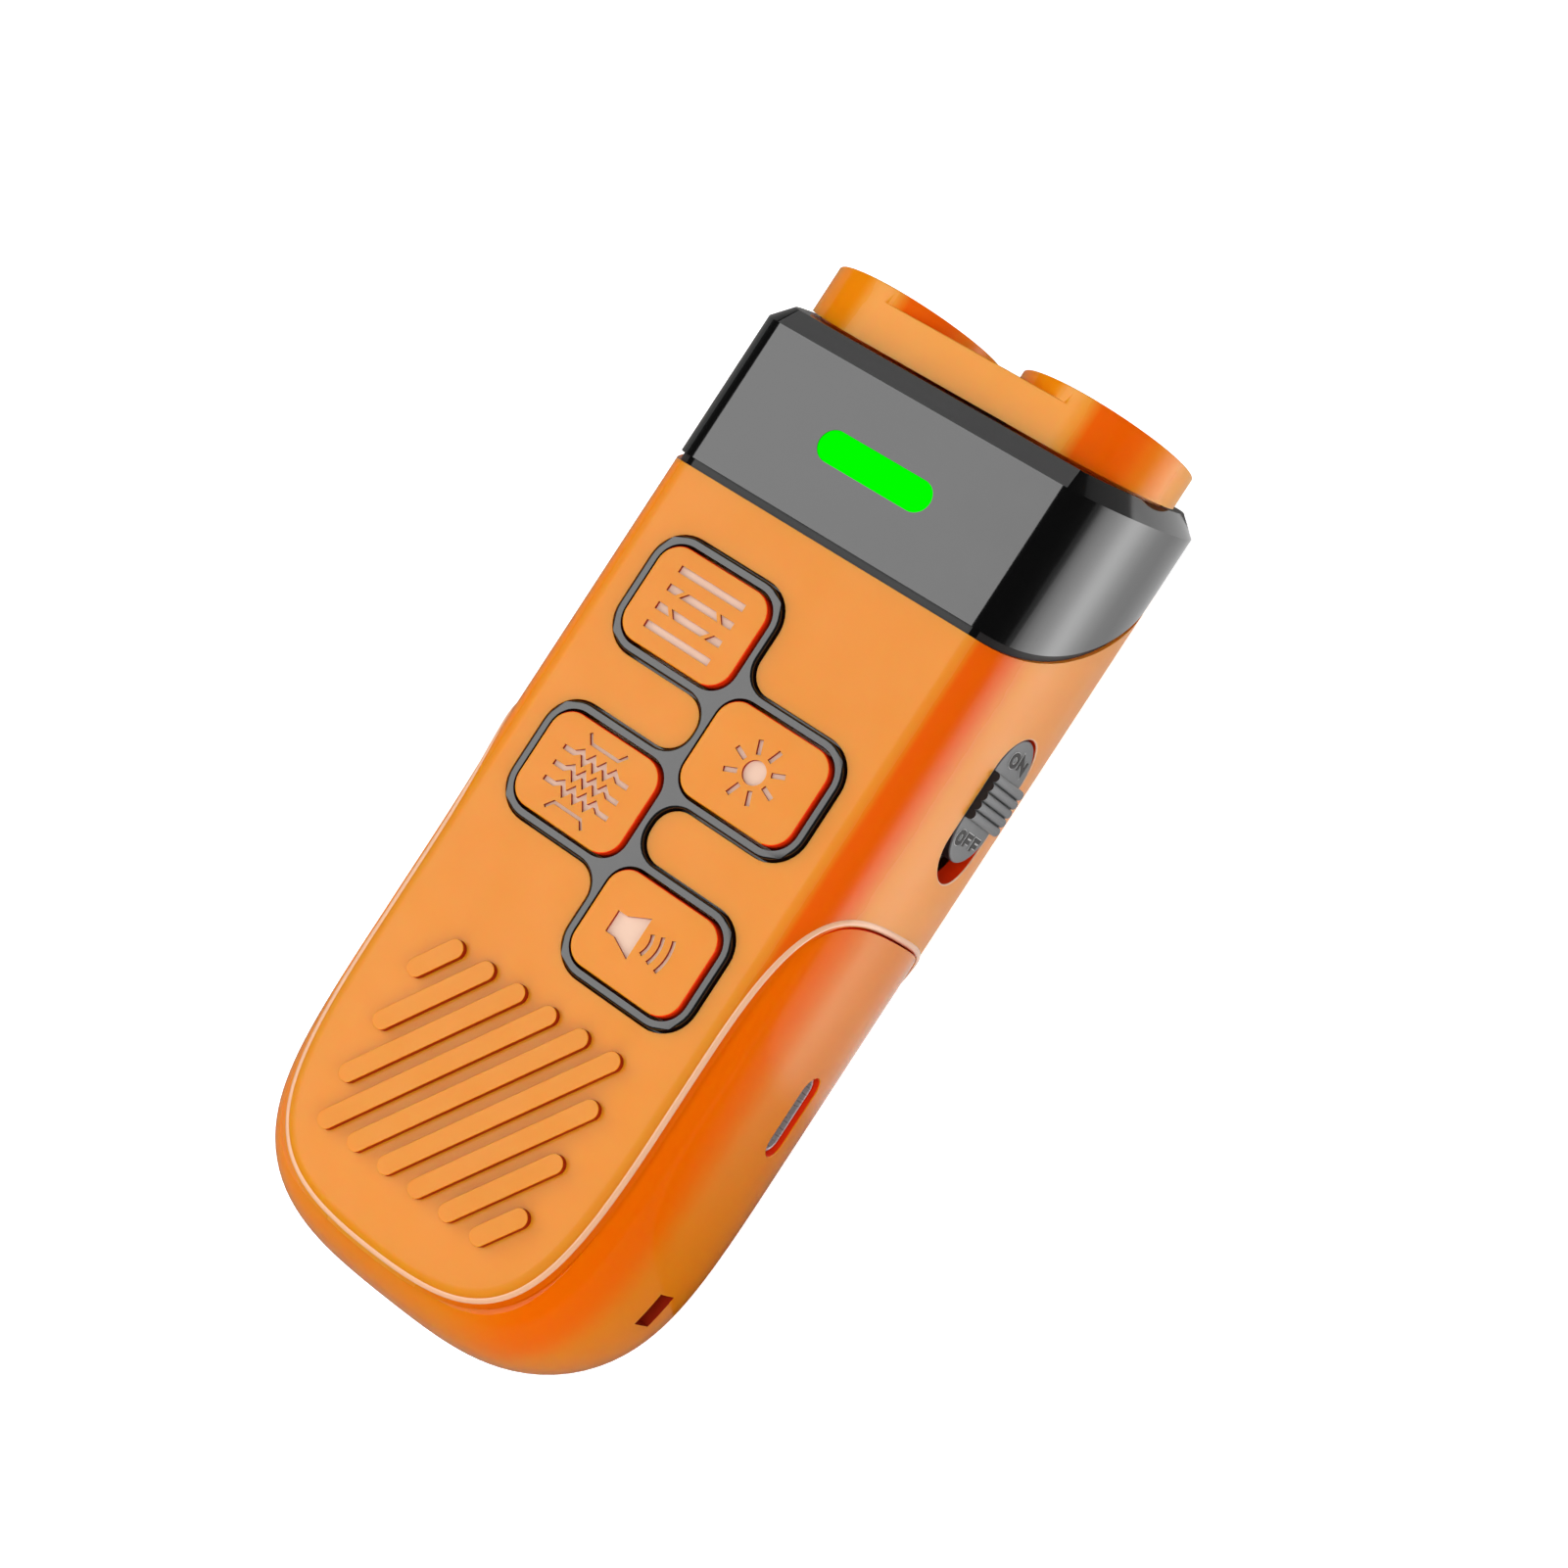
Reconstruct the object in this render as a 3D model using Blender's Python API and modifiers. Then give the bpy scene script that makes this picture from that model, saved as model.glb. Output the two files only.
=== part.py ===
"""Hand-held signal torch with a twin-horn head, lying on its back.

Metres. X is the user's right, Y runs along the case towards the horns, and Z rises out of
the front face. The back face lies on Z = 0, and the origin is halfway along the case.
"""
from math import cos, hypot, pi, radians, sin, sqrt

import bmesh
import bpy
from mathutils import Matrix, Vector

# Fits and walls
FIT = 0.00025            # gap between two pieces that seat on each other
WALL = 0.0020            # shell thickness
REACH = 0.0100           # how far a cutter runs past what it cuts
WELD = 0.000001          # points closer than this are one point

# Case: a flat face with sides that bulge out as half an ellipse
CASE_DEPTH = 0.0308
FACE_HALF = 0.01805      # half the width of the flat front face
SIDE_BULGE = 0.00595     # how far the sides stand out beyond the flat face
INSET_SHARE = 0.4        # share of an inset taken from the flat face; the bulge gives the rest
FACE_BOTTOM = 0.0514     # origin to the lower edge of the flat face
CORNER_DROP = 0.0244     # height of the turned-in lower corners
CORNER_SIDE_PULL = 0.856   # Bezier handle lengths of those corners, as shares of the corner
CORNER_BASE_PULL = 0.83
RIM_DEPTH = 0.0010       # thickness of the front and rear rims that clasp the grip rail

# Grip rail: starts below the shells' rims and swells past their sides, most of all at its lower end
RAIL_STEP = 0.0006       # below the shells' surface at their rims
RAIL_PROUD = 0.00025     # beyond the shells' sides at its widest
RAIL_SWELL = 1.15        # its bulge at the lower end, as a multiple of that at the sides
RAIL_CORNER_DROP = 0.0225
RAIL_SIDE_PULL = 0.96
RAIL_BASE_PULL = 0.92

# Arch where the grip rail ends on each side
ARCH_TOP = 0.0018
ARCH_DROP = 0.0200
ARCH_TOP_PULL = 0.917
ARCH_LEG_PULL = 0.95

# Head band: deep in front, narrow behind, with a sloping top
BAND_LOW = 0.0310        # lower edge of the band on the front face
BAND_HEIGHT = 0.0193     # from that edge to the sloping top, at the front face
BAND_RISE = 0.01665      # how much higher the lower edge runs at the back
BAND_SWEEP = 1.6         # power of that rise
BAND_SLOPE = 0.20        # rise of the top per unit of depth
BAND_CHAMFER = 0.0020
NECK_WALL = 0.00135
NECK_RISE = 0.0040       # how far the front shell's neck reaches up inside the band
NECK_ROOT = 0.0027       # how far the neck reaches down inside the front shell

# Indicator window in the band
WINDOW_LENGTH = 0.0142
WINDOW_HEIGHT = 0.0035
WINDOW_RISE = 0.0091     # above the band's lower edge
WINDOW_FLANGE = 0.0011
WINDOW_FLANGE_THICK = 0.0012
INDICATOR_BOARD_MARGIN = 0.0008
INDICATOR_BOARD_THICK = 0.0010

# Twin-horn cap
HORN_RADIUS = 0.01025
HORN_SETBACK = 0.00145   # from the case's widest point to the horn
HORN_FORWARD = 0.00085   # the horns' axes in front of the middle of the depth
HORN_RISE = 0.00755      # above the band's sloping top, at the front face
WEB_DROP = 0.0017        # how far the web between the horns stays below their rims
HORN_LIP = 0.0008
FLARE_DEPTH = 0.0025
BORE_RADIUS = 0.0079
LEDGE_DEPTH = 0.00685    # rim to the ledge that carries the lens or the grille
LEDGE_WIDTH = 0.0008
SPIGOT_RADIUS = 0.0090
SPIGOT_DROP = 0.0070     # how far the horns reach below their ledge
WEB_INSET = 0.00003      # how far the web's flats lie inside the horns' round sides

# Lamp in the left horn, sounder in the right one
LENS_THICK = 0.0012
LENS_CROWN = 0.0005
LENS_SHOULDER = 0.75     # share of the crown's height left halfway out
REFLECTOR_HEIGHT = 0.0095
REFLECTOR_WALL = 0.0008
REFLECTOR_THROAT = 0.0020
REFLECTOR_STEPS = 5
LED_RADIUS = 0.0015
LED_HEIGHT = 0.0016
LED_DOME_WIDTH = 0.7     # shoulder of the LED's dome, as shares of its radius and height
LED_DOME_HEIGHT = 0.8
LAMP_BOARD_RADIUS = 0.0058
LAMP_BOARD_THICK = 0.0012
GRILLE_THICK = 0.0008
GRILLE_HOLE = 0.0007
GRILLE_MARGIN = 0.00065   # plain rim outside the outer holes
GRILLE_RINGS = 3
SOUNDER_HEIGHT = 0.0098
SOUNDER_STEP = 0.0012    # shoulder between the sounder's can and its base
SOUNDER_BASE = 0.0020

# Keypad: four buttons in two staggered columns
BUTTON_WIDTH = 0.0142
BUTTON_HEIGHT = 0.0110
BUTTON_CORNER = 0.0026
BUTTON_PROUD = 0.0005    # above the frame round the buttons
BUTTON_TRAVEL = 0.0005
BUTTON_RIM = 0.0007
BUTTON_RIM_THICK = 0.0010
COLUMN_OFFSET = 0.0076   # each column's middle from the centre line
ROW_PITCH = 0.0100
BUTTON_DROP = 0.0128     # band's lower edge to the top button's middle
FRAME_BORDER = 0.00125
FRAME_FILLET = 0.0030
FRAME_PROUD = 0.0005     # above the front face
FRAME_FLANGE = 0.0008
FRAME_FLANGE_THICK = 0.0012
POST_RADIUS = 0.0017
BUTTONS = ("mode_button", "light_button", "pulse_button", "sound_button")

# Circuit board and the switches on it
BOARD_THICK = 0.0016
BOARD_MARGIN = 0.00055
BOARD_CORNER = 0.0020
BOARD_TOP = 0.0050       # above the band's lower edge
TACT_SIZE = 0.0060
TACT_HEIGHT = 0.0035
PLUNGER_RADIUS = 0.0015
PLUNGER_HEIGHT = 0.0026
PLUNGER_SUNK = 0.00115
STANDOFF_RADIUS = 0.0016
STANDOFF_X = 0.0130
STANDOFF_RISE = 0.0174   # above the flat face's lower edge

# Slide switch on the right side
SLOT_LENGTH = 0.0172
SLOT_WIDTH = 0.0088
SLOT_DROP = 0.01325      # band's lower edge to the slot's middle
SLOT_DEPTH = 0.0159      # front face to the slot's middle
KNOB_LENGTH = 0.0145
KNOB_SUNK = 0.0002       # below the side's widest point
KNOB_FLANGE = 0.0012
KNOB_FLANGE_INSET = 0.0028   # side's widest point to the flange's outer face
GRIP_LENGTH = 0.0055
GRIP_MARGIN = 0.0002     # from the knob's long sides to the grip
GRIP_PROUD = 0.0007
GRIP_RIBS = 5
GRIP_RIB_WIDTH = 0.00055
GRIP_RIB_HEIGHT = 0.0005
RIB_INSET = 0.00005      # keeps the ribs' ends clear of the grip's edges
LEVER_WIDTH = 0.0014
LEVER_HEIGHT = 0.0016
LEVER_ENGAGE = 0.0006    # how far the lever enters the knob
LEVER_ROOM = 0.0007      # between the lever and the board above it
SWITCH_LENGTH = 0.0100
SWITCH_DEPTH = 0.0050
SWITCH_HEIGHT = 0.0030
SWITCH_SETBACK = 0.0067  # side's widest point to the switch body

# Charging socket and lanyard slot in the grip rail
USB_WIDTH = 0.00894
USB_HEIGHT = 0.00326
USB_LENGTH = 0.0071
USB_SHEET = 0.0003
USB_RISE = 0.0324        # above the flat face's lower edge
USB_SUNK = 0.0007        # rail's widest point to the socket's mouth
TONGUE_WIDTH = 0.0067
TONGUE_THICK = 0.0007
TONGUE_SUNK = 0.0010
TONGUE_BASE = 0.0014
LANYARD_LENGTH = 0.0040
LANYARD_WIDTH = 0.0034
LANYARD_RISE = 0.0084    # above the flat face's lower edge
LANYARD_POST = 0.0012
LANYARD_POST_GAP = 0.0005

# Raised ribs on the lower front
RIB_AREA_WIDTH = 0.0270
RIB_AREA_HEIGHT = 0.0237
RIB_AREA_RISE = 0.0173   # above the flat face's lower edge
RIB_COUNT = 9
RIB_ANGLE = 56.0
RIB_PITCH = 0.0043       # along X
RIB_WIDTH = 0.0021
RIB_HEIGHT = 0.0008

# Battery, bosses and screws
BATTERY_WIDTH = 0.0310
BATTERY_LENGTH = 0.0450
BATTERY_THICK = 0.0085
BATTERY_CORNER = 0.0025
BOSS_RADIUS = 0.0021
BOSS_SHOULDER = 0.0026
UPPER_BOSS_X = 0.0140
UPPER_BOSS_DROP = 0.0023    # below the band's lower edge
LOWER_BOSS_X = 0.0110
LOWER_BOSS_RISE = 0.0069    # above the flat face's lower edge
SCREW_RADIUS = 0.0010
SCREW_LENGTH = 0.0080
SCREW_HEAD_RADIUS = 0.0022
SCREW_HEAD_THICK = 0.0011
SCREW_SUNK = 0.0006
SCREW_SLOT = 0.0005
CUP_WALL = 0.0010
CUP_FLOOR = 0.0014

# Facets
SHARP_ANGLE = 30.0       # edges bent more than this are shaded sharp
FLAT_ANGLE = 2.0         # faces tilted less than this from a plane belong to it
CORNER_FACETS = 12       # along each lower corner of the case
BULGE_FACETS = 5         # Blender's bevel resolution over the side's bulge
SWEEP_FACETS = 14        # along the band's lower edge
ROUND_FACETS = 32
SMALL_FACETS = 16
HOLE_FACETS = 6
CORNER_STEPS = 4         # per rounded corner

# Sizes worked out from the ones above
half_width = FACE_HALF + SIDE_BULGE
middle = CASE_DEPTH / 2
rim_share = sqrt(1 - (1 - RIM_DEPTH / middle) ** 2)    # share of the bulge reached at the rims
rim_out = rim_share * SIDE_BULGE - RAIL_STEP           # flat face's edge to the rail's edge
rail_width = half_width + RAIL_PROUD
rail_bulge = (rail_width - FACE_HALF - rim_out) / (1 - rim_share)
rail_half = rail_width - rail_bulge
rail_bottom = FACE_BOTTOM + rim_out - RAIL_SWELL * rim_share * rail_bulge
horn_x = half_width - HORN_SETBACK - HORN_RADIUS
horn_z = middle + HORN_FORWARD
band_top = BAND_LOW + BAND_HEIGHT
horn_top = band_top + HORN_RISE
ledge = horn_top - LEDGE_DEPTH
ledge_radius = BORE_RADIUS - LEDGE_WIDTH
case_top = horn_top + REACH
slot_y = BAND_LOW - SLOT_DROP
slot_z = CASE_DEPTH - SLOT_DEPTH
board_back = slot_z + LEVER_HEIGHT / 2 + LEVER_ROOM
board_front = board_back + BOARD_THICK
knob_travel = SLOT_LENGTH - KNOB_LENGTH - 2 * FIT
knob_y = slot_y + knob_travel / 2
usb_y = USB_RISE - FACE_BOTTOM
usb_z = board_back - FIT - USB_HEIGHT / 2
upper_boss_y = BAND_LOW - UPPER_BOSS_DROP
lower_boss_y = LOWER_BOSS_RISE - FACE_BOTTOM
bosses = [(side * UPPER_BOSS_X, upper_boss_y) for side in (-1, 1)]
bosses += [(side * LOWER_BOSS_X, lower_boss_y) for side in (-1, 1)]
post_x = LOWER_BOSS_X + BOSS_RADIUS + LANYARD_POST + 2 * LANYARD_POST_GAP
post_y = LANYARD_RISE - FACE_BOTTOM + LANYARD_POST_GAP
cup_top = SCREW_SUNK + SCREW_HEAD_THICK + FIT + CUP_FLOOR
frame_flange_top = CASE_DEPTH - WALL - FIT
button_rim_top = frame_flange_top - FRAME_FLANGE_THICK - FIT
far_above = [(case_top + REACH, -REACH), (case_top + REACH, CASE_DEPTH + REACH)]
far_below = [(-case_top, -REACH), (-case_top, CASE_DEPTH + REACH)]

ALONG_Y = Matrix(((1, 0, 0, 0), (0, 0, 1, 0), (0, -1, 0, 0), (0, 0, 0, 1)))
ALONG_X = Matrix(((0, 0, 1, 0), (1, 0, 0, 0), (0, 1, 0, 0), (0, 0, 0, 1)))


def clear_scene():
    for old in list(bpy.data.objects):
        bpy.data.objects.remove(old, do_unlink=True)


def new_collection(name):
    collection = bpy.data.collections.new(name)
    bpy.context.scene.collection.children.link(collection)
    return collection


def material(name, colour, roughness, metallic=0.0):
    made = bpy.data.materials.new(name)
    made.use_nodes = True
    shader = made.node_tree.nodes["Principled BSDF"]
    shader.inputs["Base Color"].default_value = (*colour, 1.0)
    shader.inputs["Roughness"].default_value = roughness
    shader.inputs["Metallic"].default_value = metallic
    return made


def tool(name, mesh):
    """A solid that only cuts or joins others."""
    made = bpy.data.objects.new(name, mesh)
    cutters.objects.link(made)
    made.hide_render = True
    made.display_type = "WIRE"
    return made


def part(name, solid, finish):
    """Turn a finished tool into a named part."""
    made = bpy.data.objects.new(name, solid.data.copy())
    made.data.name = name
    made.matrix_world = solid.matrix_world
    made.data.materials.clear()
    made.data.materials.append(finish)
    made.data.shade_smooth()
    made.data.set_sharp_from_angle(angle=radians(SHARP_ANGLE))
    parts.objects.link(made)
    bpy.data.objects.remove(solid, do_unlink=True)
    return made


def evaluated_mesh(source):
    depsgraph = bpy.context.evaluated_depsgraph_get()
    return bpy.data.meshes.new_from_object(source.evaluated_get(depsgraph))


def boolean(target, other, operation="DIFFERENCE"):
    modifier = target.modifiers.new(operation.title(), "BOOLEAN")
    modifier.operation = operation
    modifier.object = other
    modifier.solver = "EXACT"
    mesh = evaluated_mesh(target)
    target.modifiers.clear()
    target.data = mesh
    return target


def curve_solid(name, curve, matrix):
    """A 2D curve made into a welded mesh, with its place applied."""
    holder = bpy.data.objects.new(name, curve)
    cutters.objects.link(holder)
    mesh = evaluated_mesh(holder)
    bpy.data.objects.remove(holder, do_unlink=True)
    work = bmesh.new()
    work.from_mesh(mesh)
    bmesh.ops.remove_doubles(work, verts=work.verts, dist=WELD)
    work.transform(matrix)
    bmesh.ops.recalc_face_normals(work, faces=work.faces)
    work.to_mesh(mesh)
    work.free()
    return tool(name, mesh)


def outline_curve(name, kind):
    curve = bpy.data.curves.new(name, "CURVE")
    curve.dimensions = "2D"
    curve.fill_mode = "BOTH"
    spline = curve.splines.new(kind)
    spline.use_cyclic_u = True
    return curve, spline


def smooth_curve(name, knots):
    """A closed outline of (place, handle before, handle after); a missing handle makes a straight run."""
    curve, spline = outline_curve(name, "BEZIER")
    curve.resolution_u = CORNER_FACETS
    spline.bezier_points.add(len(knots) - 1)
    for point, (place, before, after) in zip(spline.bezier_points, knots):
        point.co = (*place, 0.0)
        point.handle_left_type = "FREE" if before else "VECTOR"
        point.handle_right_type = "FREE" if after else "VECTOR"
        if before:
            point.handle_left = (*before, 0.0)
        if after:
            point.handle_right = (*after, 0.0)
    return curve


def flat_solid(name, points, low, high, axis=Matrix()):
    """An outline extruded from low to high along Z, or along another axis by its matrix."""
    curve, spline = outline_curve(name, "POLY")
    curve.extrude = (high - low) / 2
    spline.points.add(len(points) - 1)
    for knot, (x, y) in zip(spline.points, points):
        knot.co = (x, y, 0.0, 1.0)
    return curve_solid(name, curve, axis @ Matrix.Translation((0, 0, (low + high) / 2)))


def round_corners(corners, radii, steps=CORNER_STEPS):
    """A right-angled outline with each corner turned by an arc, convex or concave."""
    points = []
    count = len(corners)
    for index, corner in enumerate(corners):
        here = Vector(corner)
        arriving = (here - Vector(corners[index - 1])).normalized()
        leaving = (Vector(corners[(index + 1) % count]) - here).normalized()
        radius = radii[index]
        centre = here - radius * arriving + radius * leaving
        for step in range(steps + 1):
            turn = pi / 2 * step / steps
            points.append(tuple(centre - radius * leaving * cos(turn) + radius * arriving * sin(turn)))
    return points


def rounded_box(width, height, radius, steps=CORNER_STEPS, at=(0.0, 0.0)):
    x, y = at
    corners = [(x + width / 2, y - height / 2), (x + width / 2, y + height / 2),
               (x - width / 2, y + height / 2), (x - width / 2, y - height / 2)]
    return round_corners(corners, [radius] * 4, steps)


def stadium(length, width, steps=2 * CORNER_STEPS, at=(0.0, 0.0)):
    """A slot with round ends, long in its first direction."""
    half = (length - width) / 2
    points = []
    for end, start in ((1, -pi / 2), (-1, pi / 2)):
        for step in range(steps + 1):
            turn = start + pi * step / steps
            points.append((at[0] + end * half + width / 2 * cos(turn), at[1] + width / 2 * sin(turn)))
    return points


def cylinder(name, radius, low, high, at, axis=Matrix(), facets=SMALL_FACETS):
    """A cylinder from low to high along its axis; at is its centre in the other two directions."""
    mesh = bpy.data.meshes.new(name)
    work = bmesh.new()
    bmesh.ops.create_cone(work, cap_ends=True, segments=facets, radius1=radius, radius2=radius,
                          depth=high - low)
    work.transform(axis @ Matrix.Translation((at[0], at[1], (low + high) / 2)))
    work.to_mesh(mesh)
    work.free()
    return tool(name, mesh)


def box(name, low, high):
    mesh = bpy.data.meshes.new(name)
    work = bmesh.new()
    bmesh.ops.create_cube(work, size=1.0)
    size = Vector(high) - Vector(low)
    bmesh.ops.scale(work, vec=size, verts=work.verts)
    bmesh.ops.translate(work, vec=(Vector(high) + Vector(low)) / 2, verts=work.verts)
    work.to_mesh(mesh)
    work.free()
    return tool(name, mesh)


def turned(name, profile, at, facets=ROUND_FACETS):
    """A profile of (radius, Y) points spun about a line along Y through at, an (X, Z) place."""
    mesh = bpy.data.meshes.new(name)
    closed = min(radius for radius, along in profile) > 0
    edges = [(index, index + 1) for index in range(len(profile) - 1)]
    if closed:
        edges.append((len(profile) - 1, 0))
    mesh.from_pydata([(radius, 0.0, along) for radius, along in profile], edges, [])
    made = tool(name, mesh)
    screw = made.modifiers.new("Turn", "SCREW")
    screw.axis = "Z"
    screw.steps = facets
    screw.render_steps = facets
    screw.use_merge_vertices = True
    screw.merge_threshold = WELD
    mesh = evaluated_mesh(made)
    bpy.data.objects.remove(made, do_unlink=True)
    work = bmesh.new()
    work.from_mesh(mesh)
    bmesh.ops.remove_doubles(work, verts=work.verts, dist=WELD)
    work.transform(Matrix.Translation((at[0], 0.0, at[1])) @ ALONG_Y)
    bmesh.ops.recalc_face_normals(work, faces=work.faces)
    work.to_mesh(mesh)
    work.free()
    return tool(name, mesh)


def u_curve(name, half, bottom, drop, side_share, base_share):
    """An outline with straight sides, round lower corners and a gently curved base."""
    turn = bottom + drop
    side_pull = drop * side_share
    base_pull = half * base_share
    knots = [((0, bottom), (-base_pull, bottom), (base_pull, bottom)),
             ((half, turn), (half, turn - side_pull), None),
             ((half, case_top), None, None),
             ((-half, case_top), None, None),
             ((-half, turn), None, (-half, turn - side_pull))]
    return smooth_curve(name, knots)


def case_curve(name, inset):
    """Outline of the case's flat face."""
    return u_curve(name, FACE_HALF - inset, inset - FACE_BOTTOM, CORNER_DROP, CORNER_SIDE_PULL,
                   CORNER_BASE_PULL)


def bulging_slab(name, curve, bulge, inset, swell=1.0):
    """A flat outline with sides that bulge out; swell stretches the outline and its bulge along Y."""
    curve.bevel_depth = bulge
    curve.bevel_resolution = BULGE_FACETS
    shape = Matrix.Diagonal((1, swell, (middle - inset) / bulge, 1))
    return curve_solid(name, curve, Matrix.Translation((0, 0, middle)) @ shape)


def case_form(name, inset):
    """The whole case as a solid slab, drawn in by inset."""
    bulge = SIDE_BULGE - (1 - INSET_SHARE) * inset
    return bulging_slab(name, case_curve(name, INSET_SHARE * inset), bulge, inset)


def rail_form(name, inset):
    """The grip rail's fuller slab, drawn in by inset."""
    flat_inset = INSET_SHARE * inset
    curve = u_curve(name, rail_half - flat_inset, (flat_inset - rail_bottom) / RAIL_SWELL,
                    RAIL_CORNER_DROP / RAIL_SWELL, RAIL_SIDE_PULL, RAIL_BASE_PULL)
    return bulging_slab(name, curve, rail_bulge - (1 - INSET_SHARE) * inset, inset, RAIL_SWELL)


def case_core(name, inset, low, high):
    """A straight-walled block under the flat face."""
    curve = case_curve(name, inset)
    curve.extrude = (high - low) / 2
    return curve_solid(name, curve, Matrix.Translation((0, 0, (low + high) / 2)))


def band_edge(depth):
    """Height of the band's lower edge at a depth behind the front face."""
    share = min(max(depth / CASE_DEPTH, 0.0), 1.0)
    return BAND_LOW + BAND_RISE * share ** BAND_SWEEP


def band_edge_points(shift):
    """The band's lower edge seen from the side as (Y, Z) points, from front to back."""
    points = [(BAND_LOW + shift, CASE_DEPTH + REACH)]
    for step in range(SWEEP_FACETS + 1):
        depth = CASE_DEPTH * step / SWEEP_FACETS
        points.append((band_edge(depth) + shift, CASE_DEPTH - depth))
    points.append((band_edge(CASE_DEPTH) + shift, -REACH))
    return points


def side_solid(name, points):
    """An outline of (Y, Z) points seen from the side, run right across the case."""
    return flat_solid(name, points, -half_width - REACH, half_width + REACH, ALONG_X)


def below_top(name, shift):
    """Everything under the band's sloping top."""
    front = (band_top + shift - BAND_SLOPE * REACH, CASE_DEPTH + REACH)
    back = (band_top + shift + BAND_SLOPE * (CASE_DEPTH + REACH), -REACH)
    low = -FACE_BOTTOM
    return side_solid(name, [(low, -REACH), back, front, (low, CASE_DEPTH + REACH)])


def rail_zone(name, gap):
    """The grip rail's zone seen from the side: two legs between the rims, ending in an arch."""
    half = middle - RIM_DEPTH - gap
    top = ARCH_TOP - gap
    shoulder = top - ARCH_DROP
    low = -rail_bottom - RAIL_SWELL * rail_bulge - REACH
    crown = half * ARCH_TOP_PULL
    leg = ARCH_DROP * ARCH_LEG_PULL
    knots = [((low, middle + half), None, None),
             ((shoulder, middle + half), None, (shoulder + leg, middle + half)),
             ((top, middle), (top, middle + crown), (top, middle - crown)),
             ((shoulder, middle - half), (shoulder + leg, middle - half), None),
             ((low, middle - half), None, None)]
    curve = smooth_curve(name, knots)
    curve.extrude = half_width + REACH
    return curve_solid(name, curve, ALONG_X)


def button_places():
    top = BAND_LOW - BUTTON_DROP
    sides = [-1 if row % 2 == 0 else 1 for row in range(len(BUTTONS))]
    return [(side * COLUMN_OFFSET, top - row * ROW_PITCH) for row, side in enumerate(sides)]


def keypad_outline(margin, corner, fillet):
    """Outline round all four staggered buttons, stepping from column to column."""
    half_w = BUTTON_WIDTH / 2 + margin
    half_h = BUTTON_HEIGHT / 2 + margin
    places = button_places()
    outer = COLUMN_OFFSET + half_w
    inner = half_w - COLUMN_OFFSET
    tops = [y + half_h for x, y in places]
    lows = [y - half_h for x, y in places]
    corners = [(-outer, tops[0], corner), (inner, tops[0], corner), (inner, tops[1], fillet),
               (outer, tops[1], corner), (outer, lows[1], corner), (inner, lows[1], fillet),
               (inner, tops[3], fillet), (outer, tops[3], corner), (outer, lows[3], corner),
               (-inner, lows[3], corner), (-inner, lows[2], fillet), (-outer, lows[2], corner),
               (-outer, tops[2], corner), (-inner, tops[2], fillet), (-inner, lows[0], fillet),
               (-outer, lows[0], corner)]
    return round_corners([(x, y) for x, y, r in corners], [r for x, y, r in corners])


def rib_ends(index):
    """Both ends of one diagonal rib's middle line, clipped to the ribbed area."""
    slant = radians(RIB_ANGLE)
    half_x = (RIB_AREA_WIDTH - RIB_WIDTH) / 2
    half_y = (RIB_AREA_HEIGHT - RIB_WIDTH) / 2
    start = (index - (RIB_COUNT - 1) / 2) * RIB_PITCH
    low = max(-half_y / sin(slant), (-half_x - start) / cos(slant))
    high = min(half_y / sin(slant), (half_x - start) / cos(slant))
    return start, low, high


def raised_ribs():
    """Nine slanted bars on the lower front, as one set of solids."""
    slant = radians(RIB_ANGLE)
    middle_y = RIB_AREA_RISE - FACE_BOTTOM
    work = bmesh.new()
    for index in range(RIB_COUNT):
        start, low, high = rib_ends(index)
        outline = stadium(high - low + RIB_WIDTH, RIB_WIDTH, CORNER_STEPS, ((low + high) / 2, 0))
        bar = flat_solid("rib", outline, CASE_DEPTH - WALL / 2, CASE_DEPTH + RIB_HEIGHT)
        bar.data.transform(Matrix.Translation((start, middle_y, 0)) @ Matrix.Rotation(slant, 4, "Z"))
        work.from_mesh(bar.data)
        bpy.data.objects.remove(bar, do_unlink=True)
    mesh = bpy.data.meshes.new("ribs")
    work.to_mesh(mesh)
    work.free()
    return tool("ribs", mesh)


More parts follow.
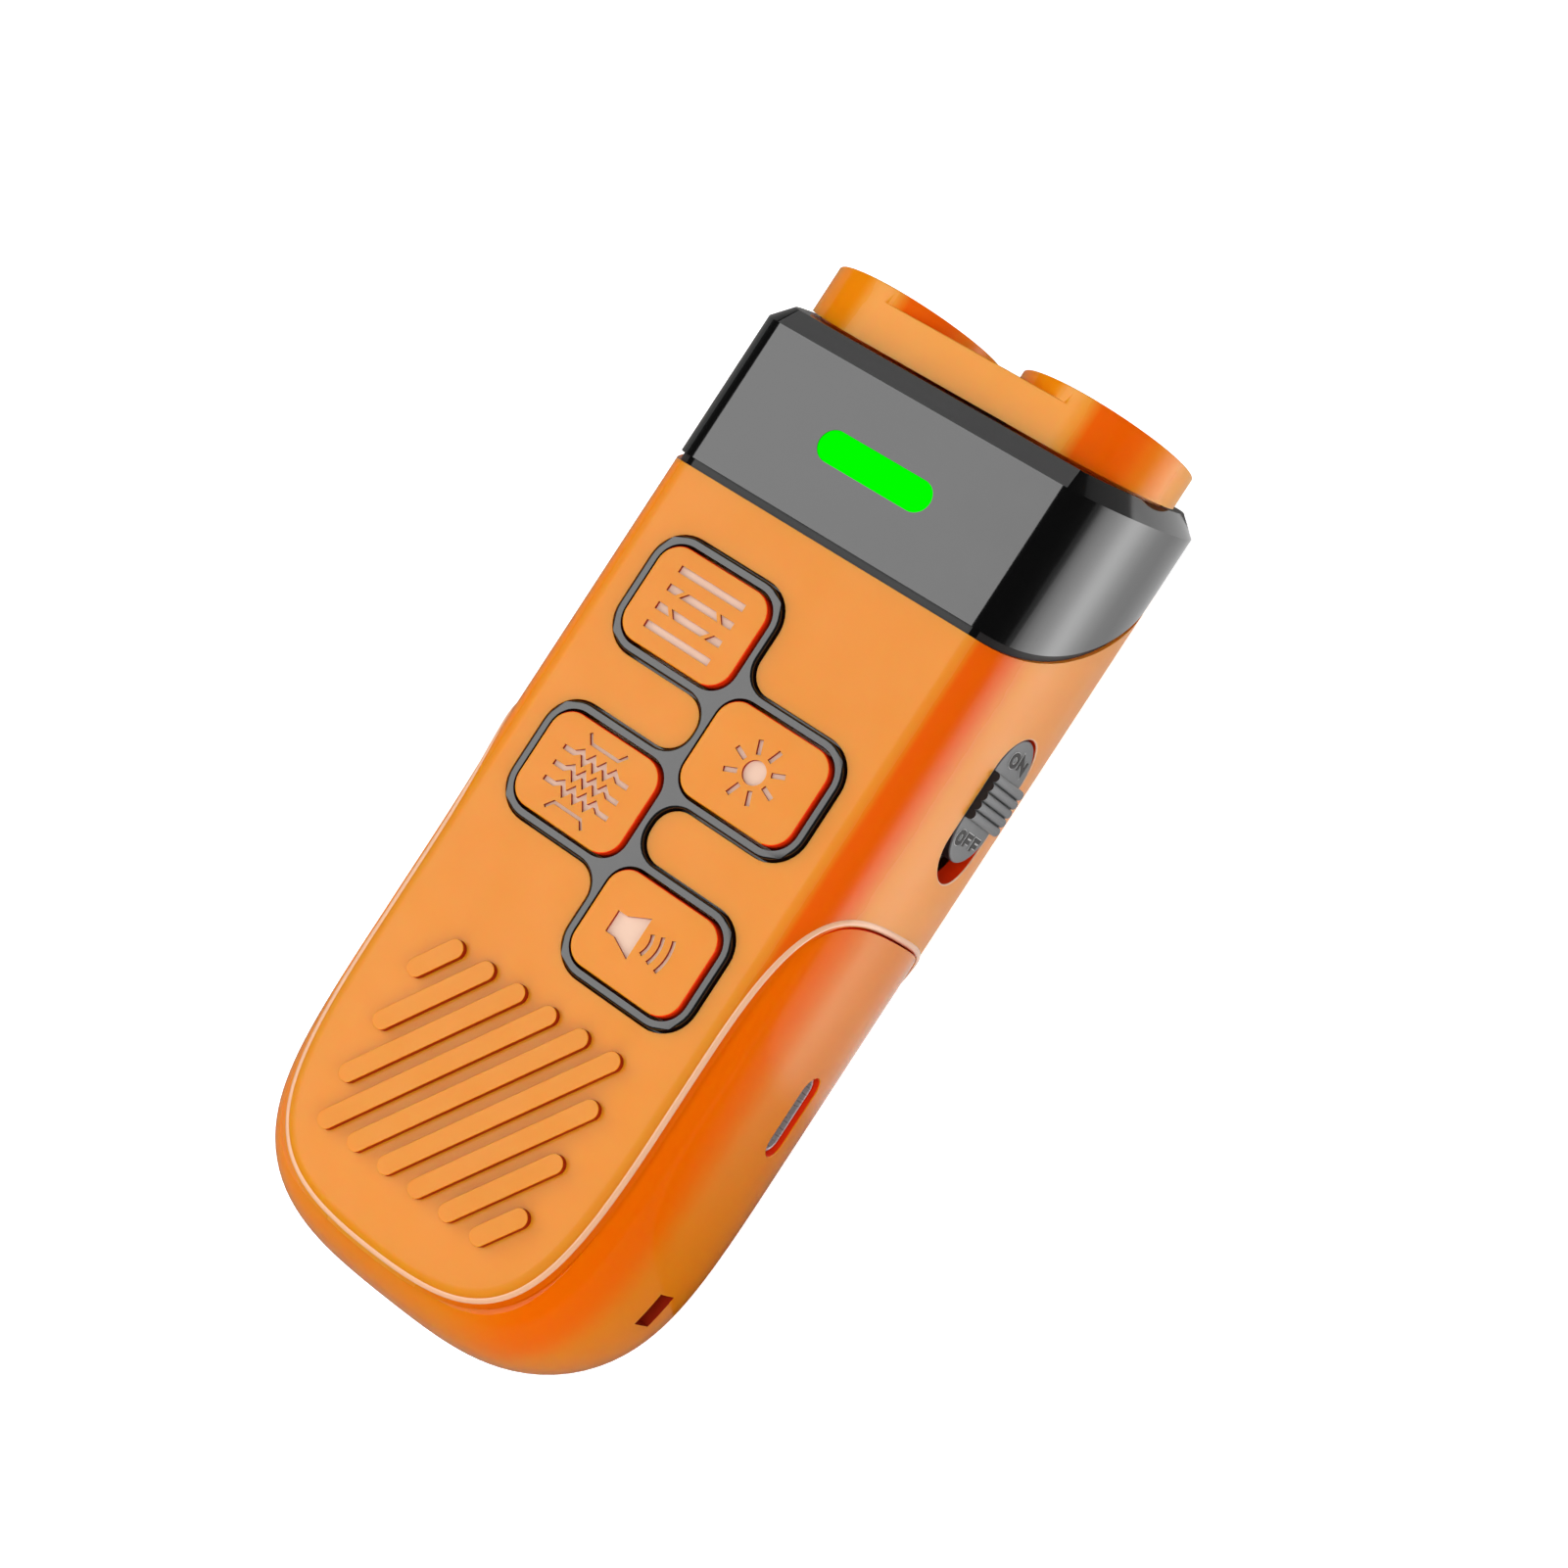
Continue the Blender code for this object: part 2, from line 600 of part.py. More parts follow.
def make_front_shell():
    shell = case_form("front_shell_form", 0)
    boolean(shell, case_form("front_hollow", WALL))
    boolean(shell, case_core("rear_mouth", 0, -REACH, middle / 2))
    boolean(shell, side_solid("above_shell", band_edge_points(-FIT) + far_above))
    rail_cut = rail_zone("rail_cut", 0)
    boolean(rail_cut, case_core("rail_keep", FIT, -REACH, CASE_DEPTH + REACH))
    boolean(shell, rail_cut)
    boolean(shell, make_neck(), "UNION")
    for x, y in bosses:
        boss_top = CASE_DEPTH - WALL - NECK_WALL / 2 if y > 0 else CASE_DEPTH - WALL / 2
        boss = cylinder("boss", BOSS_RADIUS, cup_top + FIT, boss_top, (x, y))
        if y > 0:
            shoulder = cylinder("shoulder", BOSS_SHOULDER, board_front + FIT, boss_top - FIT, (x, y))
            boolean(boss, shoulder, "UNION")
        boolean(shell, boss, "UNION")
        pilot_end = SCREW_SUNK + SCREW_HEAD_THICK + SCREW_LENGTH + 2 * FIT
        boolean(shell, cylinder("pilot", SCREW_RADIUS + FIT, 0, pilot_end, (x, y)))
    for side in (-1, 1):
        peg = cylinder("standoff", STANDOFF_RADIUS, board_front + FIT, CASE_DEPTH - WALL / 2,
                       (side * STANDOFF_X, STANDOFF_RISE - FACE_BOTTOM))
        boolean(shell, peg, "UNION")
    boolean(shell, raised_ribs(), "UNION")
    boolean(shell, box("rear_parting", (-half_width - REACH, -case_top, -REACH),
                       (half_width + REACH, case_top + REACH, RIM_DEPTH + FIT)))
    outline = keypad_outline(FRAME_BORDER + FIT, BUTTON_CORNER + FRAME_BORDER + FIT, FRAME_FILLET - FIT)
    boolean(shell, flat_solid("keypad_hole", outline, middle, CASE_DEPTH + REACH))
    slot = stadium(SLOT_LENGTH, SLOT_WIDTH, at=(slot_y, slot_z))
    boolean(shell, flat_solid("switch_slot", slot, FACE_HALF / 2, half_width + REACH, ALONG_X))
    return part("front_shell", shell, orange)


def make_neck():
    """A collar inside the front shell that the head band slides over."""
    neck = case_form("neck_form", WALL + FIT)
    root_form = case_form("neck_root", WALL / 2)
    boolean(neck, side_solid("neck_zone", band_edge_points(NECK_RISE) + far_below), "INTERSECT")
    boolean(root_form, side_solid("neck_root_zone", band_edge_points(-2 * FIT) + far_below), "INTERSECT")
    boolean(neck, root_form, "UNION")
    boolean(neck, case_form("neck_hollow", WALL + FIT + NECK_WALL))
    boolean(neck, side_solid("below_neck", band_edge_points(-NECK_ROOT) + far_below))
    return neck


def make_grip_rail():
    rail = rail_form("rail_form", 0)
    boolean(rail, rail_form("rail_hollow", WALL))
    boolean(rail, case_core("rail_core", 0, -REACH, CASE_DEPTH + REACH))
    boolean(rail, rail_zone("rail_zone", FIT), "INTERSECT")
    opening = stadium(USB_WIDTH + 2 * FIT, USB_HEIGHT + 2 * FIT, at=(usb_y, usb_z))
    boolean(rail, flat_solid("usb_opening", opening, FACE_HALF / 2, half_width + REACH, ALONG_X))
    y = LANYARD_RISE - FACE_BOTTOM
    boolean(rail, box("lanyard_slot", (FACE_HALF / 2, y - LANYARD_LENGTH / 2, middle - LANYARD_WIDTH / 2),
                      (half_width + REACH, y + LANYARD_LENGTH / 2, middle + LANYARD_WIDTH / 2)))
    return part("grip_rail", rail, orange_gloss)


def make_rear_cover():
    cover = case_form("rear_form", 0)
    boolean(cover, box("rear_zone", (-half_width - REACH, -case_top, -REACH),
                       (half_width + REACH, case_top + REACH, RIM_DEPTH)), "INTERSECT")
    boolean(cover, side_solid("rear_below_band", band_edge_points(-FIT) + far_below), "INTERSECT")
    pad = case_core("rear_pad", FIT, RIM_DEPTH / 2, WALL)
    pad_top = band_edge(CASE_DEPTH - WALL - FIT) - NECK_ROOT - 2 * FIT
    boolean(pad, box("pad_end", (-half_width, pad_top, -REACH), (half_width, case_top + REACH, middle)))
    boolean(cover, pad, "UNION")
    for x, y in bosses:
        cup = cylinder("cup", SCREW_HEAD_RADIUS + FIT + CUP_WALL, RIM_DEPTH / 2, cup_top, (x, y))
        boolean(cover, cup, "UNION")
        boolean(cover, cylinder("screw_seat", SCREW_HEAD_RADIUS + FIT, -REACH, cup_top - CUP_FLOOR, (x, y)))
        boolean(cover, cylinder("screw_hole", SCREW_RADIUS + FIT, -REACH, middle, (x, y)))
    post = cylinder("lanyard_post", LANYARD_POST, RIM_DEPTH, CASE_DEPTH - WALL - FIT, (post_x, post_y))
    boolean(cover, post, "UNION")
    return part("rear_cover", cover, orange)


def chamfer_top(solid):
    """Raise the band's sloping top and draw it in, which leaves a chamfer round it."""
    slope = Vector((0, 1, BAND_SLOPE)).normalized()
    work = bmesh.new()
    work.from_mesh(solid.data)
    top = [face for face in work.faces if face.normal.angle(slope) < radians(FLAT_ANGLE)]
    bmesh.ops.inset_region(work, faces=top, thickness=BAND_CHAMFER, depth=BAND_CHAMFER, use_even_offset=True)
    work.to_mesh(solid.data)
    work.free()


def make_head_band():
    band = case_form("band_form", 0)
    boolean(band, side_solid("band_zone", band_edge_points(0) + far_above), "INTERSECT")
    boolean(band, below_top("band_below_top", -BAND_CHAMFER * hypot(1, BAND_SLOPE)), "INTERSECT")
    chamfer_top(band)
    hollow = case_form("band_hollow", WALL)
    boolean(hollow, below_top("band_ceiling", -WALL), "INTERSECT")
    boolean(band, hollow)
    for side in (-1, 1):
        boolean(band, cylinder("spigot_hole", SPIGOT_RADIUS + FIT, 0, case_top, (side * horn_x, -horn_z),
                               ALONG_Y, ROUND_FACETS))
    window = stadium(WINDOW_LENGTH + 2 * FIT, WINDOW_HEIGHT + 2 * FIT, at=(0, BAND_LOW + WINDOW_RISE))
    boolean(band, flat_solid("window_hole", window, CASE_DEPTH - 2 * WALL, CASE_DEPTH + REACH))
    return part("head_band", band, dark_gloss)


def make_indicator():
    y = BAND_LOW + WINDOW_RISE
    flange_top = CASE_DEPTH - WALL - FIT
    flange_low = flange_top - WINDOW_FLANGE_THICK
    pipe = flat_solid("window", stadium(WINDOW_LENGTH, WINDOW_HEIGHT, at=(0, y)), flange_low, CASE_DEPTH)
    wide = stadium(WINDOW_LENGTH + 2 * WINDOW_FLANGE, WINDOW_HEIGHT + 2 * WINDOW_FLANGE, at=(0, y))
    boolean(pipe, flat_solid("window_flange", wide, flange_low - FIT / 2, flange_top), "UNION")
    part("indicator_window", pipe, green_light)
    margin = 2 * (WINDOW_FLANGE + INDICATOR_BOARD_MARGIN)
    board = rounded_box(WINDOW_LENGTH + margin, WINDOW_HEIGHT + margin, BOARD_CORNER, at=(0, y))
    board_top = flange_low - FIT / 2 - FIT
    slab = flat_solid("board", board, board_top - INDICATOR_BOARD_THICK, board_top)
    part("indicator_board", slab, board_green)


def make_horn_cap():
    web_half = HORN_RADIUS - WEB_INSET
    cap = box("web", (-horn_x, 0, horn_z - web_half), (horn_x, horn_top - WEB_DROP, horn_z + web_half))
    for side in (-1, 1):
        horn = cylinder("horn", HORN_RADIUS, 0, horn_top, (side * horn_x, -horn_z), ALONG_Y, ROUND_FACETS)
        boolean(cap, horn, "UNION")
    boolean(cap, below_top("cap_seat", FIT))
    for side in (-1, 1):
        spigot = cylinder("spigot", SPIGOT_RADIUS, ledge - SPIGOT_DROP, ledge + LEDGE_DEPTH / 2,
                          (side * horn_x, -horn_z), ALONG_Y, ROUND_FACETS)
        boolean(cap, spigot, "UNION")
    lip = HORN_RADIUS - HORN_LIP
    flare = (lip - BORE_RADIUS) / FLARE_DEPTH
    profile = [(0, horn_top + FLARE_DEPTH), (lip + flare * FLARE_DEPTH, horn_top + FLARE_DEPTH),
               (BORE_RADIUS, horn_top - FLARE_DEPTH), (BORE_RADIUS, ledge), (ledge_radius, ledge),
               (ledge_radius, 0), (0, 0)]
    for side in (-1, 1):
        boolean(cap, turned("horn_bore", profile, (side * horn_x, horn_z)))
    return part("horn_cap", cap, orange)


def make_lamp():
    at = (-horn_x, horn_z)
    lens_low = ledge + FIT
    radius = BORE_RADIUS - FIT
    lens_top = lens_low + LENS_THICK
    profile = [(0, lens_top + LENS_CROWN), (radius / 2, lens_top + LENS_SHOULDER * LENS_CROWN),
               (radius, lens_top), (radius, lens_low), (0, lens_low)]
    part("lamp_lens", turned("lens", profile, at), clear_glass)
    rim = ledge_radius - FIT
    top = ledge - FIT
    low = top - REFLECTOR_HEIGHT
    cup = rim - REFLECTOR_WALL - REFLECTOR_THROAT
    shares = [step / REFLECTOR_STEPS for step in range(REFLECTOR_STEPS + 1)]
    inner = [(REFLECTOR_THROAT + cup * sqrt(share), low + REFLECTOR_HEIGHT * share) for share in shares]
    outer = [(radius + REFLECTOR_WALL, along) for radius, along in inner]
    part("lamp_reflector", turned("reflector", list(reversed(outer)) + inner, at), mirror_metal)
    board_top = low - FIT
    board_low = board_top - LAMP_BOARD_THICK
    dome = board_top + FIT
    led = [(0, dome + LED_HEIGHT), (LED_DOME_WIDTH * LED_RADIUS, dome + LED_DOME_HEIGHT * LED_HEIGHT),
           (LED_RADIUS, dome), (LED_RADIUS, board_top), (LAMP_BOARD_RADIUS, board_top),
           (LAMP_BOARD_RADIUS, board_low), (0, board_low)]
    part("lamp_led", turned("led", led, at), led_white)


def make_sounder():
    at = (horn_x, horn_z)
    low = ledge + FIT
    grille = cylinder("grille", BORE_RADIUS - FIT, low, low + GRILLE_THICK, (horn_x, -horn_z), ALONG_Y,
                      ROUND_FACETS)
    pitch = (BORE_RADIUS - FIT - GRILLE_MARGIN - GRILLE_HOLE) / GRILLE_RINGS
    holes = bmesh.new()
    for row in range(-GRILLE_RINGS, GRILLE_RINGS + 1):
        count = 2 * GRILLE_RINGS + 1 - abs(row)
        for index in range(count):
            x = (index - (count - 1) / 2) * pitch
            place = Matrix.Translation((horn_x + x, low, horn_z + row * pitch * sqrt(3) / 2))
            bmesh.ops.create_cone(holes, cap_ends=True, segments=HOLE_FACETS, radius1=GRILLE_HOLE,
                                  radius2=GRILLE_HOLE, depth=REACH, matrix=place @ ALONG_Y)
    mesh = bpy.data.meshes.new("grille_holes")
    holes.to_mesh(mesh)
    holes.free()
    boolean(grille, tool("grille_holes", mesh))
    part("sounder_grille", grille, dark_metal)
    top = ledge - FIT
    base = top - SOUNDER_HEIGHT
    can = ledge_radius - FIT
    profile = [(0, top), (can, top), (can, base + SOUNDER_BASE), (can - SOUNDER_STEP, base + SOUNDER_BASE),
               (can - SOUNDER_STEP, base), (0, base)]
    part("sounder", turned("sounder_can", profile, at), aluminium)


def make_keypad():
    outline = keypad_outline(FRAME_BORDER, BUTTON_CORNER + FRAME_BORDER, FRAME_FILLET)
    frame = flat_solid("frame", outline, frame_flange_top - FRAME_FLANGE_THICK, CASE_DEPTH + FRAME_PROUD)
    wide = keypad_outline(FRAME_BORDER + FRAME_FLANGE, BUTTON_CORNER + FRAME_BORDER + FRAME_FLANGE,
                          FRAME_FILLET - FRAME_FLANGE)
    flange_low = frame_flange_top - FRAME_FLANGE_THICK - FIT / 2
    boolean(frame, flat_solid("frame_flange", wide, flange_low, frame_flange_top), "UNION")
    for place in button_places():
        hole = rounded_box(BUTTON_WIDTH + 2 * FIT, BUTTON_HEIGHT + 2 * FIT, BUTTON_CORNER + FIT, at=place)
        boolean(frame, flat_solid("button_hole", hole, middle, CASE_DEPTH + REACH))
    part("button_frame", frame, dark_gloss)

    rim_low = button_rim_top - BUTTON_RIM_THICK - FIT / 2
    tact_low = board_front + FIT
    tact_top = tact_low + TACT_HEIGHT
    plunger_top = tact_top - PLUNGER_SUNK + PLUNGER_HEIGHT
    well_low = tact_top - PLUNGER_SUNK - BUTTON_TRAVEL - FIT
    for name, (x, y) in zip(BUTTONS, button_places()):
        cap = flat_solid("cap", rounded_box(BUTTON_WIDTH, BUTTON_HEIGHT, BUTTON_CORNER), rim_low,
                         CASE_DEPTH + FRAME_PROUD + BUTTON_PROUD)
        rim = rounded_box(BUTTON_WIDTH + 2 * BUTTON_RIM, BUTTON_HEIGHT + 2 * BUTTON_RIM,
                          BUTTON_CORNER + BUTTON_RIM)
        boolean(cap, flat_solid("rim", rim, rim_low - FIT / 2, button_rim_top - FIT / 2), "UNION")
        boolean(cap, cylinder("post", POST_RADIUS, plunger_top + FIT, rim_low + FIT, (0, 0)), "UNION")
        cap.matrix_world = Matrix.Translation((x, y, 0))
        part(name, cap, orange)

        stem = name.replace("_button", "")
        body = flat_solid("tact", rounded_box(TACT_SIZE, TACT_SIZE, FIT, 1, (x, y)), tact_low, tact_top)
        boolean(body, cylinder("well", PLUNGER_RADIUS + FIT, well_low, CASE_DEPTH, (x, y)))
        part(stem + "_switch", body, dark_plastic)
        plunger = cylinder("plunger", PLUNGER_RADIUS, plunger_top - PLUNGER_HEIGHT, plunger_top, (0, 0))
        plunger.matrix_world = Matrix.Translation((x, y, 0))
        part(stem + "_plunger", plunger, pale_plastic)


def make_slide_switch():
    outer = half_width - KNOB_SUNK
    flange_outer = half_width - KNOB_FLANGE_INSET
    flange_inner = flange_outer - KNOB_FLANGE
    knob_width = SLOT_WIDTH - 2 * FIT
    knob = flat_solid("knob", stadium(KNOB_LENGTH, knob_width), flange_inner + FIT, outer, ALONG_X)
    flange = stadium(KNOB_LENGTH + 2 * KNOB_FLANGE, knob_width + 2 * KNOB_FLANGE)
    boolean(knob, flat_solid("knob_flange", flange, flange_inner, flange_outer, ALONG_X), "UNION")
    crest = half_width + GRIP_PROUD
    grip_half = knob_width / 2 - GRIP_MARGIN
    grip = box("grip", (outer - FIT, -GRIP_LENGTH / 2, -grip_half),
               (crest - GRIP_RIB_HEIGHT, GRIP_LENGTH / 2, grip_half))
    boolean(knob, grip, "UNION")
    pitch = (GRIP_LENGTH - GRIP_RIB_WIDTH) / (GRIP_RIBS - 1)
    rib_half = GRIP_RIB_WIDTH / 2 - RIB_INSET
    rib_end = grip_half - RIB_INSET
    for index in range(GRIP_RIBS):
        y = (index - (GRIP_RIBS - 1) / 2) * pitch
        boolean(knob, box("grip_rib", (crest - 2 * GRIP_RIB_HEIGHT, y - rib_half, -rib_end),
                          (crest, y + rib_half, rib_end)), "UNION")
    boolean(knob, box("lever_pocket", (-half_width, -LEVER_WIDTH / 2 - FIT, -LEVER_HEIGHT / 2 - FIT),
                      (flange_inner + LEVER_ENGAGE + FIT, LEVER_WIDTH / 2 + FIT, LEVER_HEIGHT / 2 + FIT)))
    knob.matrix_world = Matrix.Translation((0, knob_y, slot_z))
    part("slide_knob", knob, grey_plastic)

    body_outer = half_width - SWITCH_SETBACK
    lever_inner = body_outer - SWITCH_DEPTH / 4
    lever = box("lever", (lever_inner, -LEVER_WIDTH / 2, -LEVER_HEIGHT / 2),
                (flange_inner + LEVER_ENGAGE, LEVER_WIDTH / 2, LEVER_HEIGHT / 2))
    lever.matrix_world = Matrix.Translation((0, knob_y, slot_z))
    part("slide_lever", lever, dark_plastic)

    body_top = board_back - FIT
    half_length = SWITCH_LENGTH / 2
    body = box("slide_body", (body_outer - SWITCH_DEPTH, slot_y - half_length, body_top - SWITCH_HEIGHT),
               (body_outer, slot_y + half_length, body_top))
    half_window = (LEVER_WIDTH + knob_travel) / 2 + FIT
    half_lever = LEVER_HEIGHT / 2 + FIT
    boolean(body, box("lever_window", (lever_inner - FIT, slot_y - half_window, slot_z - half_lever),
                      (half_width, slot_y + half_window, slot_z + half_lever)))
    part("slide_switch", body, bright_steel)


def make_usb():
    mouth = rail_width - USB_SUNK
    back = mouth - USB_LENGTH
    shell = flat_solid("usb", stadium(USB_WIDTH, USB_HEIGHT, at=(usb_y, usb_z)), back, mouth, ALONG_X)
    inner_width = USB_WIDTH - 2 * USB_SHEET
    inner_height = USB_HEIGHT - 2 * USB_SHEET
    hollow = stadium(inner_width, inner_height, at=(usb_y, usb_z))
    boolean(shell, flat_solid("usb_hollow", hollow, back + USB_SHEET, mouth + REACH, ALONG_X))
    part("usb_shell", shell, bright_steel)
    tongue_back = back + USB_SHEET + FIT
    base = stadium(inner_width - 2 * FIT, inner_height - 2 * FIT, at=(usb_y, usb_z))
    tongue = flat_solid("tongue_base", base, tongue_back, tongue_back + TONGUE_BASE, ALONG_X)
    boolean(tongue, box("tongue", (tongue_back + FIT, usb_y - TONGUE_WIDTH / 2, usb_z - TONGUE_THICK / 2),
                        (mouth - TONGUE_SUNK, usb_y + TONGUE_WIDTH / 2, usb_z + TONGUE_THICK / 2)), "UNION")
    part("usb_tongue", tongue, dark_plastic)


def make_board():
    low = post_y + LANYARD_POST + 2 * FIT
    high = BAND_LOW + BOARD_TOP
    outline = rounded_box(2 * (FACE_HALF - BOARD_MARGIN), high - low, BOARD_CORNER, at=(0, (low + high) / 2))
    board = flat_solid("board", outline, board_back, board_front)
    for x, y in bosses[:2]:
        boolean(board, cylinder("boss_hole", BOSS_RADIUS + FIT, 0, CASE_DEPTH, (x, y)))
    part("circuit_board", board, board_green)


def make_battery():
    low = lower_boss_y + SCREW_HEAD_RADIUS + CUP_WALL + 3 * FIT
    outline = rounded_box(BATTERY_WIDTH, BATTERY_LENGTH, BATTERY_CORNER, at=(0, low + BATTERY_LENGTH / 2))
    part("battery", flat_solid("cell", outline, WALL + FIT, WALL + FIT + BATTERY_THICK), silver_foil)


def make_screws():
    names = ("upper_left", "upper_right", "lower_left", "lower_right")
    for name, (x, y) in zip(names, bosses):
        seat = SCREW_SUNK + SCREW_HEAD_THICK
        root = seat - SCREW_HEAD_THICK / 2
        screw = cylinder("head", SCREW_HEAD_RADIUS, SCREW_SUNK, seat, (x, y))
        boolean(screw, cylinder("shank", SCREW_RADIUS, root, seat + SCREW_LENGTH, (x, y)), "UNION")
        for along, across in ((SCREW_RADIUS, SCREW_SLOT / 2), (SCREW_SLOT / 2, SCREW_RADIUS)):
            boolean(screw, box("cross", (x - along, y - across, 0),
                               (x + along, y + across, SCREW_SUNK + SCREW_SLOT)))
        part(name + "_screw", screw, bright_steel)


clear_scene()
parts = new_collection("signal_torch")
cutters = new_collection("cutters")
orange = material("orange_plastic", (0.80, 0.24, 0.025), 0.38)
orange_gloss = material("orange_gloss_plastic", (0.79, 0.22, 0.02), 0.22)
dark_gloss = material("dark_gloss_plastic", (0.035, 0.035, 0.036), 0.12)
grey_plastic = material("grey_plastic", (0.19, 0.19, 0.195), 0.4)
dark_plastic = material("dark_plastic", (0.02, 0.02, 0.02), 0.5)
pale_plastic = material("pale_plastic", (0.7, 0.68, 0.62), 0.5)
green_light = material("green_light_pipe", (0.01, 0.9, 0.01), 0.25)
clear_glass = material("clear_lens", (0.9, 0.93, 0.95), 0.05)
led_white = material("led_package", (0.85, 0.83, 0.7), 0.4)
board_green = material("board_green", (0.02, 0.16, 0.06), 0.4)
bright_steel = material("bright_steel", (0.55, 0.55, 0.56), 0.28, 1.0)
dark_metal = material("dark_metal", (0.08, 0.08, 0.085), 0.35, 1.0)
mirror_metal = material("mirror_metal", (0.9, 0.9, 0.9), 0.06, 1.0)
aluminium = material("aluminium", (0.7, 0.71, 0.72), 0.35, 1.0)
silver_foil = material("battery_foil", (0.6, 0.61, 0.63), 0.45, 0.6)

make_front_shell()
make_grip_rail()
make_rear_cover()
make_head_band()
make_indicator()
make_horn_cap()
make_lamp()
make_sounder()
make_keypad()
make_slide_switch()
make_usb()
make_board()
make_battery()
make_screws()
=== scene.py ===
from math import asin, cos, hypot, pi, radians, sin, sqrt

import bmesh
import bpy
from mathutils import Matrix, Vector
from mathutils.geometry import interpolate_bezier


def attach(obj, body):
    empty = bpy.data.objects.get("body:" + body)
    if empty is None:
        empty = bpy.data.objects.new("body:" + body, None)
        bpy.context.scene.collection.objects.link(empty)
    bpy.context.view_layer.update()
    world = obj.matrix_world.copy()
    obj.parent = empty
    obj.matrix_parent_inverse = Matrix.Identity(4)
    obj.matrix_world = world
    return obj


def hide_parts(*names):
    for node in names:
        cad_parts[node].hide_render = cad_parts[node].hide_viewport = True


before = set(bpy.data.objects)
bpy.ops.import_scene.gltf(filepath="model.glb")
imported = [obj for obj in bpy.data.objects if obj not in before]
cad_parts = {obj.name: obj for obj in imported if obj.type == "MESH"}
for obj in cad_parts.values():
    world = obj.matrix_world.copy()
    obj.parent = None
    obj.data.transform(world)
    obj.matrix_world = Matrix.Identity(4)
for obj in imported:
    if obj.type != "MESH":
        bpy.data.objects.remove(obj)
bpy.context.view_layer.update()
mm = 0.001
scene = bpy.context.scene
scene.view_settings.view_transform = "Standard"
print("frame loaded with", len(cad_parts), "nodes")

# X is the user's right, Y runs towards the horns, Z comes out of the front face
alongY = Matrix(((1, 0, 0, 0), (0, 0, 1, 0), (0, -1, 0, 0), (0, 0, 0, 1)))
alongX = Matrix(((0, 0, 1, 0), (1, 0, 0, 0), (0, 1, 0, 0), (0, 0, 0, 1)))
reach = 10 * mm   # how far a cutter runs past what it cuts
touch = 0.01 * mm   # how near counts as touching


# materials

def feed(tree, socket, value):
    # another node's output is linked to the socket, anything else is set on it
    if isinstance(value, bpy.types.NodeSocket):
        tree.links.new(value, socket)
    else:
        socket.default_value = value


def addNode(tree, kind, inputs=(), **settings):
    node = tree.nodes.new("ShaderNode" + kind)
    for key, value in settings.items():
        setattr(node, key, value)
    for key, value in dict(inputs).items():
        feed(tree, node.inputs[key], value)
    return node


def axesOf(tree, space="Object"):
    place = addNode(tree, "TexCoord").outputs[space]
    return addNode(tree, "SeparateXYZ", {"Vector": place}).outputs


def noiseOn(tree, scale, detail=3.0):
    place = addNode(tree, "TexCoord").outputs["Object"]
    return addNode(tree, "TexNoise", {"Vector": place, "Scale": scale, "Detail": detail}).outputs["Fac"]


def remap(tree, source, start, end, low=0.0, high=1.0, easing="LINEAR"):
    limits = {"From Min": start, "From Max": end, "To Min": low, "To Max": high}
    return addNode(tree, "MapRange", {"Value": source, **limits}, interpolation_type=easing).outputs["Result"]


def spread(tree, noise, low, high):
    return remap(tree, noise, 0.3, 0.7, low, high)   # most of a noise lies between these two


def combine(tree, operation, *values):
    return addNode(tree, "Math", enumerate(values), operation=operation).outputs[0]


def mixTones(tree, share, first, second):
    return addNode(tree, "Mix", {"Factor": share, "A": first, "B": second}, data_type="RGBA").outputs["Result"]


def rampOn(tree, source, stops, easing="LINEAR"):
    node = addNode(tree, "ValToRGB", {"Fac": source})
    ramp = node.color_ramp
    ramp.interpolation = easing
    ramp.elements.remove(ramp.elements[1])
    for at, share in stops:
        ramp.elements.new(at).color = (share, share, share, 1.0)
    return node.outputs["Color"]


def grainOn(tree, sockets, height, strength, deep):
    bump = addNode(tree, "Bump", {"Height": height, "Strength": strength, "Distance": deep * mm})
    feed(tree, sockets["Normal"], bump.outputs["Normal"])


def newMaterial(name, colour, roughness, more=()):
    made = bpy.data.materials.new(name)
    made.use_nodes = True
    sockets = made.node_tree.nodes["Principled BSDF"].inputs
    values = {"Base Color": (*colour, 1.0), "Roughness": roughness, "Metallic": 0.0, "IOR": 1.5, **dict(more)}
    for key, value in values.items():
        sockets[key].default_value = value
    return made, made.node_tree, sockets


